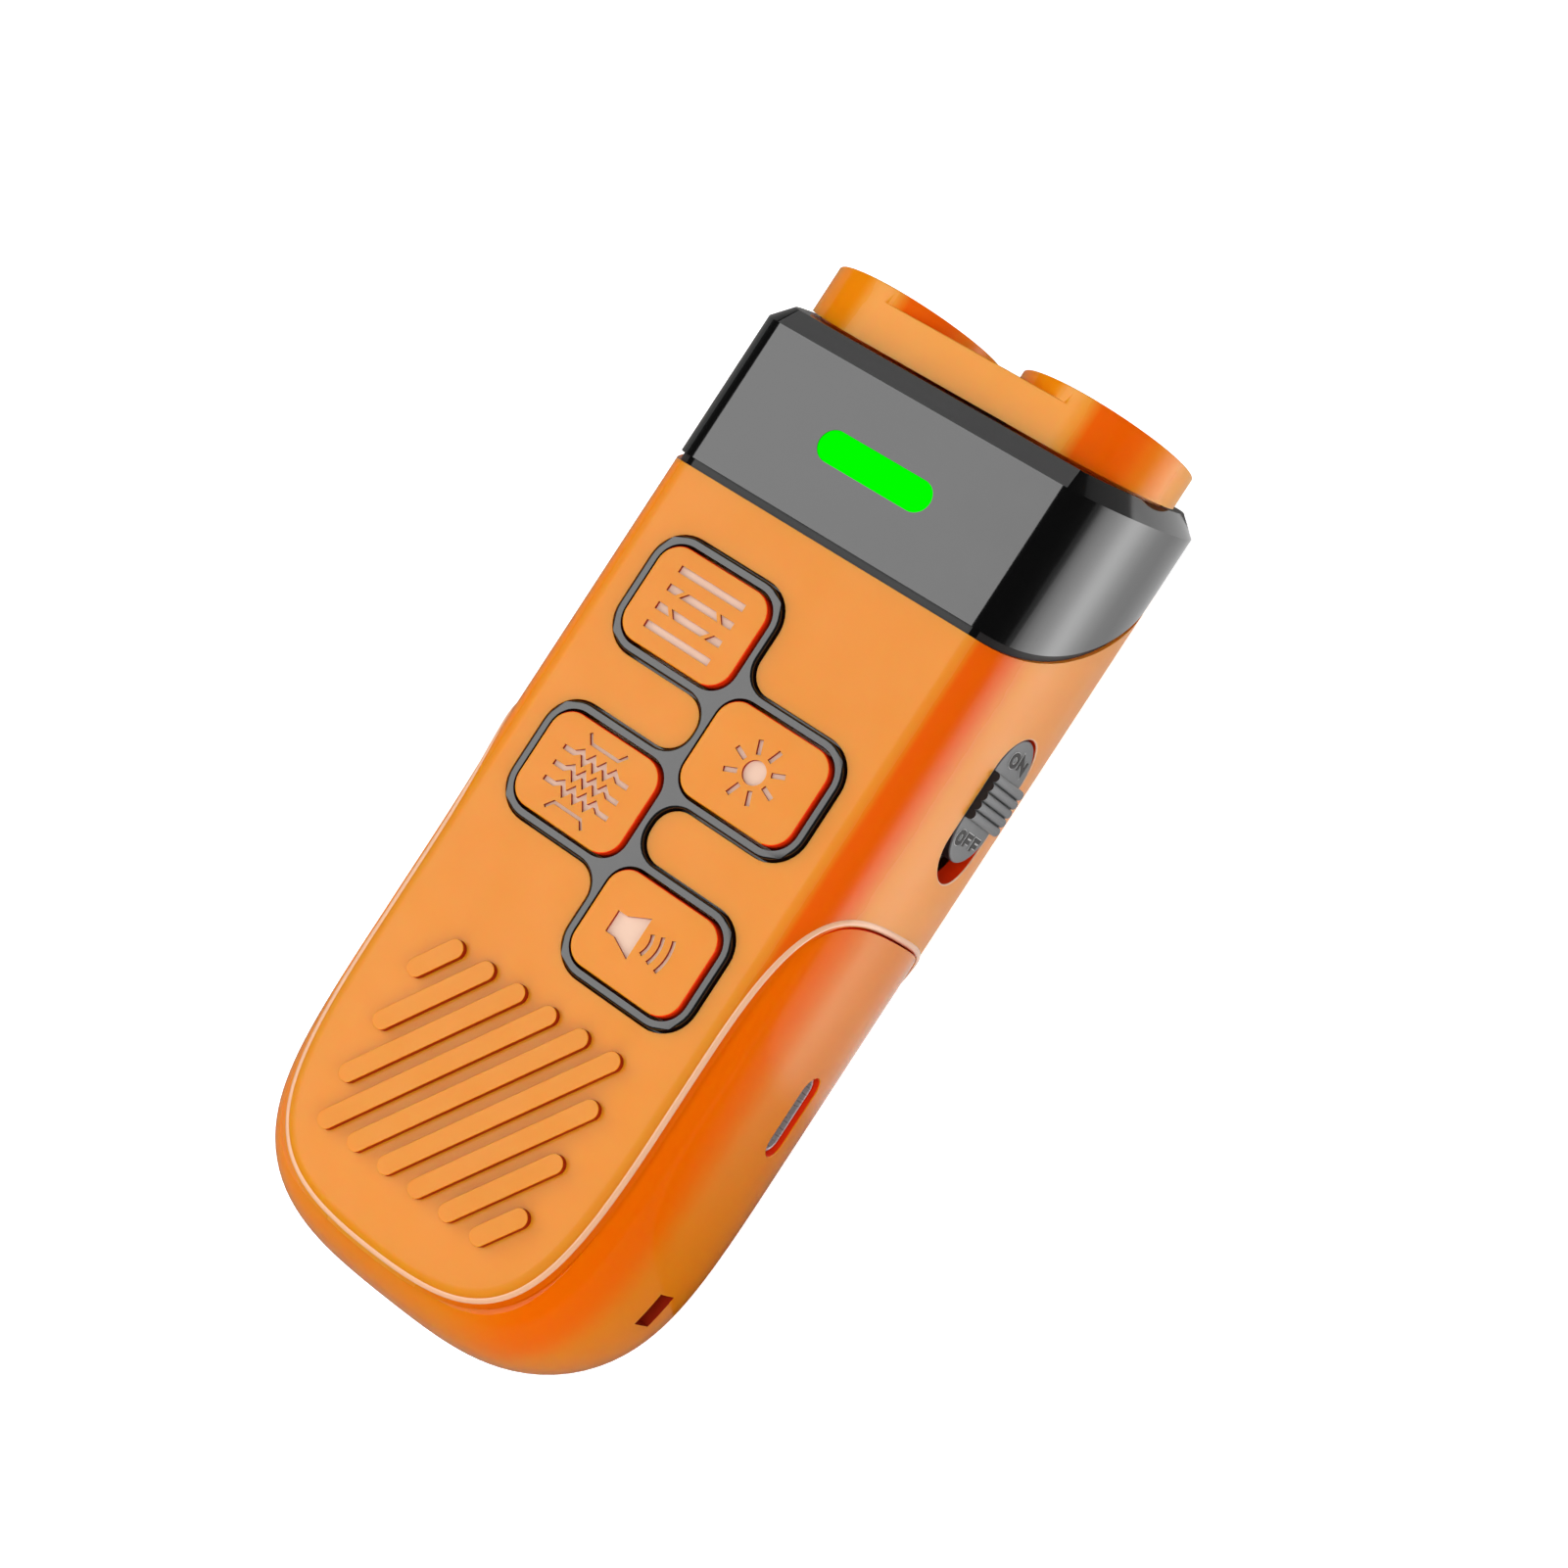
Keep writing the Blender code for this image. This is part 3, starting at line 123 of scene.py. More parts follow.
def mouldedPlastic(name, colour, shade, roughness, swing, grain, deep, ior=1.5, sheen=0.5, milk=0.0, turnShades=()):
    # two near tones in broad clouds, uneven gloss, a fine moulded grain and painted shade where the form turns
    made, tree, sockets = newMaterial(name, colour, roughness, {
        "IOR": ior, "Specular IOR Level": sheen, "Subsurface Weight": milk,
        "Subsurface Radius": (1.0, 0.15, 0.04), "Subsurface Scale": 2.5 * mm})
    tone = mixTones(tree, spread(tree, noiseOn(tree, 60.0), 0.0, 1.0), (*colour, 1.0), (*shade, 1.0))
    gloss = spread(tree, noiseOn(tree, 240.0), roughness - swing, roughness + swing)
    for turnTone, stops, (start, end) in turnShades:
        # painted shade: a deeper, glossier tone where the form turns, by height over the back and distance off the
        # middle
        axes = axesOf(tree)
        height = remap(tree, axes["Z"], 0.0, shadeReach * mm)
        ramp = rampOn(tree, height, [(at / shadeReach, share) for at, share in stops], "EASE")
        across = remap(tree, axes["X"], start * mm, end * mm, easing="SMOOTHSTEP")
        share = combine(tree, "MULTIPLY", ramp, across)
        tone = mixTones(tree, share, tone, (*turnTone, 1.0))
        gloss = combine(tree, "MULTIPLY", gloss, combine(tree, "MULTIPLY_ADD", share, -0.7, 1.0))
    feed(tree, sockets["Base Color"], tone)
    feed(tree, sockets["Roughness"], gloss)
    grainOn(tree, sockets, noiseOn(tree, grain, 2.0), 0.35, deep)
    return made


def brushedMetal(name, colour, roughness, stretch, metallic=1.0):
    made, tree, sockets = newMaterial(name, colour, roughness, {"Metallic": metallic})
    place = addNode(tree, "TexCoord").outputs["Object"]
    lines = addNode(tree, "Mapping", {"Vector": place, "Scale": stretch}).outputs["Vector"]
    noise = addNode(tree, "TexNoise", {"Vector": lines, "Scale": 900.0}).outputs["Fac"]
    feed(tree, sockets["Roughness"], spread(tree, noise, roughness - 0.08, roughness + 0.1))
    grainOn(tree, sockets, noise, 0.15, 0.01)
    return made


def smoothFinish(name, colour, roughness, scale, low, high, more):
    made, tree, sockets = newMaterial(name, colour, roughness, more)
    feed(tree, sockets["Roughness"], spread(tree, noiseOn(tree, scale), low, high))
    return made


# painted-shade stops are height over the back in mm and share of the painted shade
shadeReach = 40
caseTurnShade = ((0, 0), (23.5, 0), (27.8, 1), (30.1, 1), (30.77, 0))
railTurnShade = ((0, 0), (20.5, 0), (26.0, 1), (31.0, 1))
hornTurnShade = ((0, 0), (16.5, 0), (21.0, 0.45), (24.2, 1), (26.1, 1), (26.47, 0))
# two tones, roughness and its swing, grain per metre and its depth in mm
plastics = dict(
    # the deeper tones in these rows are painted shade where the form turns
    caseOrange=((0.88, 0.290, 0.010), (0.86, 0.275, 0.008), 0.36, 0.03, 5200.0, 0.006,
                dict(sheen=0.4, milk=0.4, turnShades=[((0.90, 0.123, 0.0), caseTurnShade, (0, 15)),
                                                 ((0.98, 0.250, 0.0), caseTurnShade, (0, -15))])),
    railOrange=((0.83, 0.232, 0.008), (0.81, 0.222, 0.006), 0.14, 0.015, 2600.0, 0.0015,
                dict(sheen=0.16, milk=0.4, turnShades=[((0.90, 0.146, 0.0), railTurnShade, (8, 19))])),
    # painted highlight: pale orange along the lip and round the switch slot
    paintedHighlightOrange=((0.92, 0.52, 0.32), (0.90, 0.48, 0.28), 0.16, 0.02, 2600.0, 0.002),
    hornOrange=((0.98, 0.360, 0.018), (0.96, 0.345, 0.015), 0.32, 0.03, 5200.0, 0.006,
                dict(sheen=0.4, milk=0.4, turnShades=[((1.0, 0.135, 0.0), hornTurnShade, (-30, -29))])),
    # the horn's left side: the same finish with a paler painted shade where it turns
    hornLeftPaintedShade=((0.98, 0.360, 0.018), (0.96, 0.345, 0.015), 0.32, 0.03, 5200.0, 0.006,
               dict(sheen=0.4, milk=0.4, turnShades=[((1.0, 0.270, 0.0), hornTurnShade, (-30, -29))])),
    # painted shade: bright red for orange walls seen in shade
    paintedShadeBrightRed=((1.0, 0.034, 0.0), (0.97, 0.030, 0.0), 0.40, 0.03, 4000.0, 0.004, dict(sheen=0.2)),
    # painted shade: dark red for walls deeper in shade
    paintedShadeDarkRed=((0.40, 0.018, 0.002), (0.36, 0.015, 0.002), 0.45, 0.03, 4000.0, 0.004, dict(sheen=0.2)),
    bandBlack=((0.0015, 0.0015, 0.0016), (0.0022, 0.0022, 0.0022), 0.13, 0.015, 1500.0, 0.001, dict(ior=1.75)),
    # painted reflection: satin grey on the front of the band's top chamfer
    bandPaintedReflection=((0.082, 0.082, 0.083), (0.090, 0.090, 0.090), 0.38, 0.03, 3000.0, 0.002),
    # painted reflection: dark grey on the front of the band's lip
    lipPaintedReflection=((0.034, 0.034, 0.034), (0.040, 0.040, 0.040), 0.38, 0.03, 3000.0, 0.002, dict(sheen=0.25)),
    frameBlack=((0.006, 0.006, 0.006), (0.009, 0.009, 0.009), 0.20, 0.02, 3000.0, 0.003, dict(ior=1.75)),
    knobGrey=((0.106, 0.108, 0.111), (0.098, 0.100, 0.103), 0.34, 0.03, 5000.0, 0.006),
    iconPaint=((0.92, 0.63, 0.47), (0.89, 0.59, 0.43), 0.5, 0.05, 6000.0, 0.008),
    # black for the black inner parts, and painted shade on walls in shadow and on the knob letters
    blackAndPaintedShade=((0.020, 0.018, 0.018), (0.030, 0.027, 0.026), 0.5, 0.06, 4000.0, 0.006, dict(sheen=0.2)),
    # painted highlight round the knob letters
    letterPaintedHighlight=((0.62, 0.62, 0.62), (0.56, 0.56, 0.56), 0.4, 0.04, 4000.0, 0.004),
    tongueGrey=((0.150, 0.145, 0.150), (0.135, 0.130, 0.135), 0.40, 0.04, 4000.0, 0.004),
    paleNylon=((0.70, 0.68, 0.62), (0.66, 0.64, 0.58), 0.45, 0.05, 4000.0, 0.006),
    boardMask=((0.020, 0.160, 0.060), (0.016, 0.130, 0.050), 0.35, 0.05, 3000.0, 0.006),
    ledYellow=((0.80, 0.62, 0.12), (0.86, 0.74, 0.30), 0.35, 0.05, 3000.0, 0.006))
# colour, roughness, stretch of the grain and share of metal
metals = dict(
    cellFoil=((0.62, 0.63, 0.65), 0.38, (1.0, 0.2, 1.0)),
    socketSteel=((0.56, 0.54, 0.55), 0.30, (1.0, 4.0, 1.0), 0.4),
    screwSteel=((0.52, 0.52, 0.53), 0.28, (1.0, 1.0, 0.2)),
    mirrorCoat=((0.90, 0.90, 0.90), 0.12, (1.0, 0.3, 1.0)),
    grilleMetal=((0.10, 0.10, 0.105), 0.34, (1.0, 1.0, 1.0)),
    sounderCan=((0.70, 0.71, 0.72), 0.34, (1.0, 0.3, 1.0)),
    contactGold=((0.85, 0.62, 0.24), 0.25, (3.0, 1.0, 1.0)))
# colour, roughness, grain per metre, lowest and highest roughness, and other sockets
smooths = dict(
    windowGlow=((0.0, 0.01, 0.0), 0.3, 500.0, 0.25, 0.35,
                {"Specular IOR Level": 0.0, "Emission Color": (0.0, 1.0, 0.0, 1.0), "Emission Strength": 0.96}),
    lensClear=((0.96, 0.98, 1.0), 0.04, 400.0, 0.02, 0.07, {"IOR": 1.49, "Transmission Weight": 1.0}))
finish = {name: mouldedPlastic(name, *row[:6], **dict(*row[6:])) for name, row in plastics.items()}
finish.update((name, brushedMetal(name, *row)) for name, row in metals.items())
finish.update((name, smoothFinish(name, *row)) for name, row in smooths.items())
print("materials made:", len(bpy.data.materials))


# modelling tools

def draftObject(bm):
    mesh = bpy.data.meshes.new("draft")
    bm.to_mesh(mesh)
    bm.free()
    made = bpy.data.objects.new("draft", mesh)
    scene.collection.objects.link(made)
    return made


def takeMesh(source):
    depsgraph = bpy.context.evaluated_depsgraph_get()
    mesh = bpy.data.meshes.new_from_object(source.evaluated_get(depsgraph))
    bm = bmesh.new()
    bm.from_mesh(mesh)
    bpy.data.meshes.remove(mesh)
    bpy.data.objects.remove(source, do_unlink=True)
    return bm


def carve(bm, cutter, operation="DIFFERENCE"):
    target, knife = draftObject(bm), draftObject(cutter)
    modifier = target.modifiers.new("carve", "BOOLEAN")
    modifier.operation = operation
    modifier.object = knife
    modifier.solver = "EXACT"
    result = takeMesh(target)
    bpy.data.objects.remove(knife, do_unlink=True)
    return result


def join(bm, other):
    mesh = bpy.data.meshes.new("draft")
    other.to_mesh(mesh)
    other.free()
    bm.from_mesh(mesh)
    bpy.data.meshes.remove(mesh)
    return bm


def curveSolid(curve, place):
    holder = bpy.data.objects.new("draft", curve)
    scene.collection.objects.link(holder)
    bm = takeMesh(holder)
    bmesh.ops.remove_doubles(bm, verts=bm.verts, dist=0.001 * mm)
    bm.transform(place)
    bmesh.ops.recalc_face_normals(bm, faces=bm.faces)
    return bm


def thicken(bm, face, height):
    # grow a flat face into a solid along its drawing's Z
    grown = bmesh.ops.extrude_face_region(bm, geom=[face])
    moved = [item for item in grown["geom"] if isinstance(item, bmesh.types.BMVert)]
    bmesh.ops.translate(bm, vec=(0, 0, height), verts=moved)
    bmesh.ops.recalc_face_normals(bm, faces=bm.faces)
    return bm


def plate(points, low, high, place=Matrix()):
    bm = bmesh.new()
    face = bm.faces.new([bm.verts.new((a, b, low)) for a, b in points])
    thicken(bm, face, high - low)
    bm.transform(place)
    return bm


def roundPlate(corners, low, high, steps=10):
    # corners are (x, y, radius); each is rounded by a vertex bevel
    bm = bmesh.new()
    face = bm.faces.new([bm.verts.new((x, y, low)) for x, y, radius in corners])
    plan = list(zip(list(face.verts), [radius for x, y, radius in corners]))
    for radius in sorted(set(radius for vert, radius in plan)):
        alike = [vert for vert, own in plan if own == radius]
        bmesh.ops.bevel(bm, geom=alike, offset=radius, segments=steps, profile=0.5, affect="VERTICES",
                        material=-1, clamp_overlap=False)
    bm.faces.ensure_lookup_table()
    return thicken(bm, bm.faces[0], high - low)


def stadium(length, width, low, high, a=0.0, b=0.0, place=Matrix(), segments=64, grow=0.0):
    # a circle pulled apart into a slot with round ends, wider all round by grow
    length, width = length + 2 * grow, width + 2 * grow
    bm = bmesh.new()
    bmesh.ops.create_circle(bm, cap_ends=True, segments=segments, radius=width / 2,
                            matrix=Matrix.Rotation(pi / segments, 4, "Z"))
    for vert in bm.verts:
        vert.co.x += (length - width) / 2 * (1 if vert.co.x > 0 else -1)
    bmesh.ops.translate(bm, vec=(a, b, low), verts=bm.verts)
    bm.faces.ensure_lookup_table()
    thicken(bm, bm.faces[0], high - low)
    bm.transform(place)
    return bm


def cylinder(radius, low, high, a, b, place=Matrix(), segments=96, taper=0.0):
    bm = bmesh.new()
    bmesh.ops.create_cone(bm, cap_ends=True, segments=segments, radius1=radius, radius2=radius - taper,
                          depth=high - low, matrix=Matrix.Translation((a, b, (low + high) / 2)))
    bm.transform(place)
    return bm


def block(low, high):
    bm = bmesh.new()
    bmesh.ops.create_cube(bm, size=1.0)
    size = Vector(high) - Vector(low)
    bmesh.ops.scale(bm, vec=size, verts=bm.verts)
    bmesh.ops.translate(bm, vec=(Vector(high) + Vector(low)) / 2, verts=bm.verts)
    return bm


def turned(profile, x, z, segments=96):
    # (radius, Y) points spun about a line along Y through x, z
    bm = bmesh.new()
    verts = [bm.verts.new((radius, 0, along)) for radius, along in profile]
    edges = [bm.edges.new(pair) for pair in zip(verts, verts[1:])]
    if profile[0][0] > 0:
        edges.append(bm.edges.new((verts[-1], verts[0])))
    bmesh.ops.spin(bm, geom=verts + edges, cent=(0, 0, 0), axis=(0, 0, 1), angle=2 * pi, steps=segments,
                   use_merge=True)
    bmesh.ops.remove_doubles(bm, verts=bm.verts, dist=0.001 * mm)
    bmesh.ops.recalc_face_normals(bm, faces=bm.faces)
    bm.transform(Matrix.Translation((x, 0, z)) @ alongY)
    return bm


def soften(bm, test, offset, segments=3, angle=40):
    # round the sharp edges whose two ends pass the test
    bm.normal_update()
    edges = [edge for edge in bm.edges if len(edge.link_faces) == 2
             and edge.calc_face_angle() > radians(angle) and all(test(vert.co) for vert in edge.verts)]
    bmesh.ops.bevel(bm, geom=edges, offset=offset, segments=segments, profile=0.5, affect="EDGES",
                    material=-1, clamp_overlap=False)


def paint(bm, index, test):
    bm.normal_update()
    for face in bm.faces:
        if test(face.calc_center_median(), face.normal):
            face.material_index = index


def dress(bm, name, kinds, nodes=(), body="case", sharp=32):
    mesh = bpy.data.meshes.new(name)
    bm.to_mesh(mesh)
    bm.free()
    for kind in kinds:
        mesh.materials.append(finish[kind])
    mesh.shade_smooth()
    mesh.set_sharp_from_angle(angle=radians(sharp))
    piece = bpy.data.objects.new(name, mesh)
    scene.collection.objects.link(piece)
    even = piece.modifiers.new("evenNormals", "WEIGHTED_NORMAL")
    even.keep_sharp = True
    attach(piece, body)
    if nodes:
        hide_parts(*nodes)
    print("made", name, "with", len(mesh.polygons), "faces")
    return piece


def inMm(**sizes):
    return {key: size * mm for key, size in sizes.items()}


# the case's shared form

caseForm = dict(inMm(depth=30.8, faceHalf=18.05, bulge=5.95, faceBottom=51.4, cornerDrop=24.4, top=67.85, wall=2.0,
                     fit=0.25, bandGap=0.04, rim=1.0), sidePull=0.856, basePull=0.83, insetShare=0.4, cornerSteps=40,
                bulgeSteps=32)
railForm = dict(inMm(step=0.6, proud=0.25, cornerDrop=22.5), swell=1.15, sidePull=0.96, basePull=0.92)
bandLine = dict(inMm(low=31.0, height=19.3, rise=16.65, chamfer=2.0), sweep=1.6, slope=0.2, steps=48)
archLine = dict(inMm(top=1.8, drop=20.0, redLow=-22.0), topPull=0.917, legPull=0.95, steps=48)
depth, wall, fit, rim = (caseForm[key] for key in ("depth", "wall", "fit", "rim"))
faceHalf, caseTop, insetShare = (caseForm[key] for key in ("faceHalf", "top", "insetShare"))
middle = depth / 2
halfWidth = faceHalf + caseForm["bulge"]
bandTop = bandLine["low"] + bandLine["height"]
rimShare = sqrt(1 - (1 - rim / middle) ** 2)
rimOut = rimShare * caseForm["bulge"] - railForm["step"]
railWidth = halfWidth + railForm["proud"]
railBulge = (railWidth - faceHalf - rimOut) / (1 - rimShare)
railBottom = caseForm["faceBottom"] + rimOut - railForm["swell"] * rimShare * railBulge


def bezierCurve(knots, steps):
    curve = bpy.data.curves.new("draft", "CURVE")
    curve.dimensions = "2D"
    curve.fill_mode = "BOTH"
    curve.resolution_u = steps
    spline = curve.splines.new("BEZIER")
    spline.bezier_points.add(len(knots) - 1)
    spline.use_cyclic_u = True
    for point, (place, before, after) in zip(spline.bezier_points, knots):
        point.co = (*place, 0.0)
        point.handle_left_type = "FREE" if before else "VECTOR"
        point.handle_right_type = "FREE" if after else "VECTOR"
        if before:
            point.handle_left = (*before, 0.0)
        if after:
            point.handle_right = (*after, 0.0)
    return curve


def uOutline(half, bottom, drop, sideShare, baseShare):
    turn = bottom + drop
    sidePull, basePull = drop * sideShare, half * baseShare
    return [((0, bottom), (-basePull, bottom), (basePull, bottom)),
            ((half, turn), (half, turn - sidePull), None),
            ((half, caseTop), None, None), ((-half, caseTop), None, None),
            ((-half, turn), None, (-half, turn - sidePull))]


def caseOutline(inset):
    return uOutline(faceHalf - inset, inset - caseForm["faceBottom"], caseForm["cornerDrop"],
                    caseForm["sidePull"], caseForm["basePull"])


def bulgingSlab(knots, bulge, inset, swell=1.0):
    curve = bezierCurve(knots, caseForm["cornerSteps"])
    curve.bevel_depth = bulge
    curve.bevel_resolution = caseForm["bulgeSteps"]
    shape = Matrix.Diagonal((1, swell, (middle - inset) / bulge, 1))
    return curveSolid(curve, Matrix.Translation((0, 0, middle)) @ shape)


def caseSlab(inset):
    return bulgingSlab(caseOutline(insetShare * inset), caseForm["bulge"] - (1 - insetShare) * inset, inset)


def railSlab(inset):
    swell = railForm["swell"]
    knots = uOutline(railWidth - railBulge - insetShare * inset, (insetShare * inset - railBottom) / swell,
                     railForm["cornerDrop"] / swell, railForm["sidePull"], railForm["basePull"])
    return bulgingSlab(knots, railBulge - (1 - insetShare) * inset, inset, swell)


def caseCore(inset, low, high):
    curve = bezierCurve(caseOutline(inset), caseForm["cornerSteps"])
    curve.extrude = (high - low) / 2
    return curveSolid(curve, Matrix.Translation((0, 0, (low + high) / 2)))


def bandEdge(behind):
    share = max(behind / depth, 0.0)
    return bandLine["low"] + bandLine["rise"] * share ** bandLine["sweep"]


def bandSide(shift, above):
    # side view of everything above, or below, the band's lower edge
    points = [(bandLine["low"] + shift, depth + reach)]
    for step in range(1, bandLine["steps"] + 3):
        behind = depth * (step - 0.5) / bandLine["steps"]
        points.append((bandEdge(behind) + shift, depth - behind))
    points.append((points[-1][0], -reach))
    far = caseTop + reach if above else -caseTop
    points += [(far, -reach), (far, depth + reach)]
    return plate(points, -halfWidth - reach, halfWidth + reach, alongX)


def belowTop(shift):
    front = (bandTop + shift - bandLine["slope"] * reach, depth + reach)
    back = (bandTop + shift + bandLine["slope"] * (depth + reach), -reach)
    low = -caseForm["faceBottom"]
    return plate([(low, -reach), back, front, (low, depth + reach)], -halfWidth - reach, halfWidth + reach, alongX)


def archKnots(gap):
    half = middle - rim - gap
    top = archLine["top"] - gap
    shoulder = top - archLine["drop"]
    crown = half * archLine["topPull"]
    leg = archLine["drop"] * archLine["legPull"]
    return half, shoulder, top, crown, leg


def railZone(gap):
    half, shoulder, top, crown, leg = archKnots(gap)
    low = -railBottom - railForm["swell"] * railBulge - reach
    front, back = middle + half, middle - half
    curve = bezierCurve([((low, front), None, None), ((shoulder, front), None, (shoulder + leg, front)),
                         ((top, middle), (top, middle + crown), (top, middle - crown)),
                         ((shoulder, back), (shoulder + leg, back), None), ((low, back), None, None)],
                        archLine["steps"])
    curve.extrude = halfWidth + reach
    return curveSolid(curve, alongX)


def bulgeAt(z, inset=0.0):
    share = (z - middle) / (middle - inset)
    bulge = caseForm["bulge"] - (1 - insetShare) * inset
    return bulge * sqrt(max(0.0, 1 - share * share))


def backSlice(top):
    far = halfWidth + reach
    return block((-far, -caseTop, -reach), (far, caseTop + reach, top))


def onSkin(co):
    # on the outer surface of the straight upper case, or on its flat front or back
    side = abs(abs(co.x) - faceHalf - bulgeAt(co.z)) < 0.06 * mm
    return side or abs(abs(co.z - middle) - middle) < touch


# front shell

keypad = inMm(buttonWidth=14.2, buttonHeight=11.0, corner=2.6, offset=7.6, pitch=10.0, top=18.2, border=1.25,
              fillet=3.0, frameProud=0.5, buttonProud=0.5, gap=0.34, shellGap=0.24, edge=0.28, innerEdge=0.08,
              shellEdge=0.05, flange=0.8, flangeThick=1.3, plateDeep=1.2)
switchSlot = inMm(length=17.2, width=8.8, y=17.75, z=14.9, edge=0.15)
buttonPlaces = [((-1 if row % 2 == 0 else 1) * keypad["offset"], keypad["top"] - row * keypad["pitch"])
                for row in range(4)]


def keypadCorners(margin, corner, fillet):
    halfW = keypad["buttonWidth"] / 2 + margin
    halfH = keypad["buttonHeight"] / 2 + margin
    outer, inner = keypad["offset"] + halfW, halfW - keypad["offset"]
    tops = [y + halfH for x, y in buttonPlaces]
    lows = [y - halfH for x, y in buttonPlaces]
    return [(-outer, tops[0], corner), (-outer, lows[0], corner), (-inner, lows[0], fillet),
            (-inner, tops[2], fillet), (-outer, tops[2], corner), (-outer, lows[2], corner),
            (-inner, lows[2], fillet), (-inner, lows[3], corner), (outer, lows[3], corner),
            (outer, tops[3], corner), (inner, tops[3], fillet), (inner, lows[1], fillet),
            (outer, lows[1], corner), (outer, tops[1], corner), (inner, tops[1], fillet),
            (inner, tops[0], corner)]


def leansToSlot(co, normal):
    # on the rounded rim of the switch slot
    slot = switchSlot
    straight = (slot["length"] - slot["width"]) / 2
    inward = Vector((slot["y"] + min(max(co.y - slot["y"], -straight), straight) - co.y, slot["z"] - co.z))
    margin = inward.length - slot["width"] / 2
    return -0.02 * mm < margin < slot["edge"] and inward.normalized().dot((normal.y, normal.z)) > 0.12


def makeFrontShell():
    bm = carve(caseSlab(0), caseSlab(wall))
    bm = carve(bm, caseCore(0, -reach, middle / 2))
    bm = carve(bm, bandSide(-caseForm["bandGap"], True))
    bm = carve(bm, carve(railZone(0), caseCore(fit, -reach, depth + reach)))
    bm = carve(bm, backSlice(rim + fit))
    border = keypad["border"] + keypad["shellGap"]
    hole = keypadCorners(border, keypad["corner"] + border, keypad["fillet"] - keypad["shellGap"])
    bm = carve(bm, roundPlate(hole, middle, depth + reach))
    slot = switchSlot
    bm = carve(bm, stadium(slot["length"], slot["width"], faceHalf / 2, halfWidth + reach,
                           slot["y"], slot["z"], alongX))

    def byKeypad(co):
        ends = [y for x, y, corner in hole]
        return abs(co.x) < max(x for x, y, corner in hole) + touch and min(ends) - touch < co.y < max(ends) + touch

    def bySlot(co):
        return (co.x > faceHalf and abs(co.y - slot["y"]) < slot["length"] / 2 + fit
                and abs(co.z - slot["z"]) < slot["width"] / 2 + fit)

    soften(bm, lambda co: abs(co.z - depth) < touch and byKeypad(co), keypad["shellEdge"])
    soften(bm, lambda co: onSkin(co) and bySlot(co), slot["edge"])
    # painted shade: bright red on the switch slot walls
    paint(bm, 3, lambda co, normal: abs(normal.x) < 0.1 and bySlot(co))
    # painted shade: dark red on the keypad hole walls
    paint(bm, 1, lambda co, normal: abs(normal.z) < 0.1 and depth - wall - 0.1 * mm < co.z < depth and byKeypad(co))
    # painted highlight: a pale rim round the switch slot
    paint(bm, 2, lambda co, normal: co.x > faceHalf and normal.x > 0.1 and leansToSlot(co, normal))
    return dress(bm, "frontShell", ["caseOrange", "paintedShadeDarkRed", "paintedHighlightOrange", "paintedShadeBrightRed"],
                 ["front_shell"])


makeFrontShell()


# raised ribs on the lower front

ribField = dict(inMm(width=27.0, height=23.7, y=-34.1, pitch=4.3, rib=2.1, proud=0.8, edge=0.08, sunk=0.3), count=9,
                angle=56.0)


def makeRibs():
    form = ribField
    slant = radians(form["angle"])
    halfX, halfY = (form["width"] - form["rib"]) / 2, (form["height"] - form["rib"]) / 2
    field = bmesh.new()
    for index in range(form["count"]):
        start = (index - (form["count"] - 1) / 2) * form["pitch"]
        low = max(-halfY / sin(slant), (-halfX - start) / cos(slant))
        high = min(halfY / sin(slant), (halfX - start) / cos(slant))
        turn = Matrix.Translation((start, form["y"], 0)) @ Matrix.Rotation(slant, 4, "Z")
        bar = stadium(high - low + form["rib"], form["rib"], depth - form["sunk"], depth + form["proud"],
                      (low + high) / 2, 0, turn, 40)
        soften(bar, lambda co: co.z > depth, form["edge"], 4)
        join(field, bar)
    # painted shade: dark red on the rib walls
    paint(field, 1, lambda co, normal: abs(normal.z) < 0.3)
    return dress(field, "frontRibs", ["caseOrange", "paintedShadeDarkRed"])


makeRibs()


# lip where the shells end along the grip rail, pale with a painted highlight

railLip = dict(inMm(radius=0.42, back=0.34, inset=0.24), steps=40)


def lipPath():
    form = railLip
    half, shoulder, top, crown, leg = archKnots(-form["back"])
    front, back = middle + half, middle - half
    upper = interpolate_bezier((shoulder, front, 0), (shoulder + leg, front, 0), (top, middle + crown, 0),
                               (top, middle, 0), form["steps"])
    side = [(point.x, point.y) for point in upper]
    side += [(y, 2 * middle - z) for y, z in reversed(side[:-1])]
    inset = form["inset"]
    flat = faceHalf - insetShare * inset
    arch = [Vector((flat + bulgeAt(z, inset), y, z)) for y, z in side]
    knots = caseOutline(insetShare * inset)
    corner = interpolate_bezier((*knots[1][0], 0), (*knots[1][1], 0), (*knots[0][2], 0), (*knots[0][0], 0),
                                form["steps"])
    out = bulgeAt(front, inset)
    run = []
    for index in range(1, len(corner) - 1):
        tangent = (corner[index + 1] - corner[index - 1]).normalized()
        run.append(corner[index] + out * Vector((-tangent.y, tangent.x, 0)))
    run = [Vector((flat + out, corner[0].y, 0))] + run
    base = [Vector((0, knots[0][0][1] - out, 0))]
    across = run + base + [Vector((-point.x, point.y, 0)) for point in reversed(run)]
    lift = Vector((0, 0, 1))
    left = [Vector((-point.x, point.y, point.z)) for point in arch]
    return ([point + lift * front for point in across] + left
            + [point + lift * back for point in reversed(across)] + list(reversed(arch)))


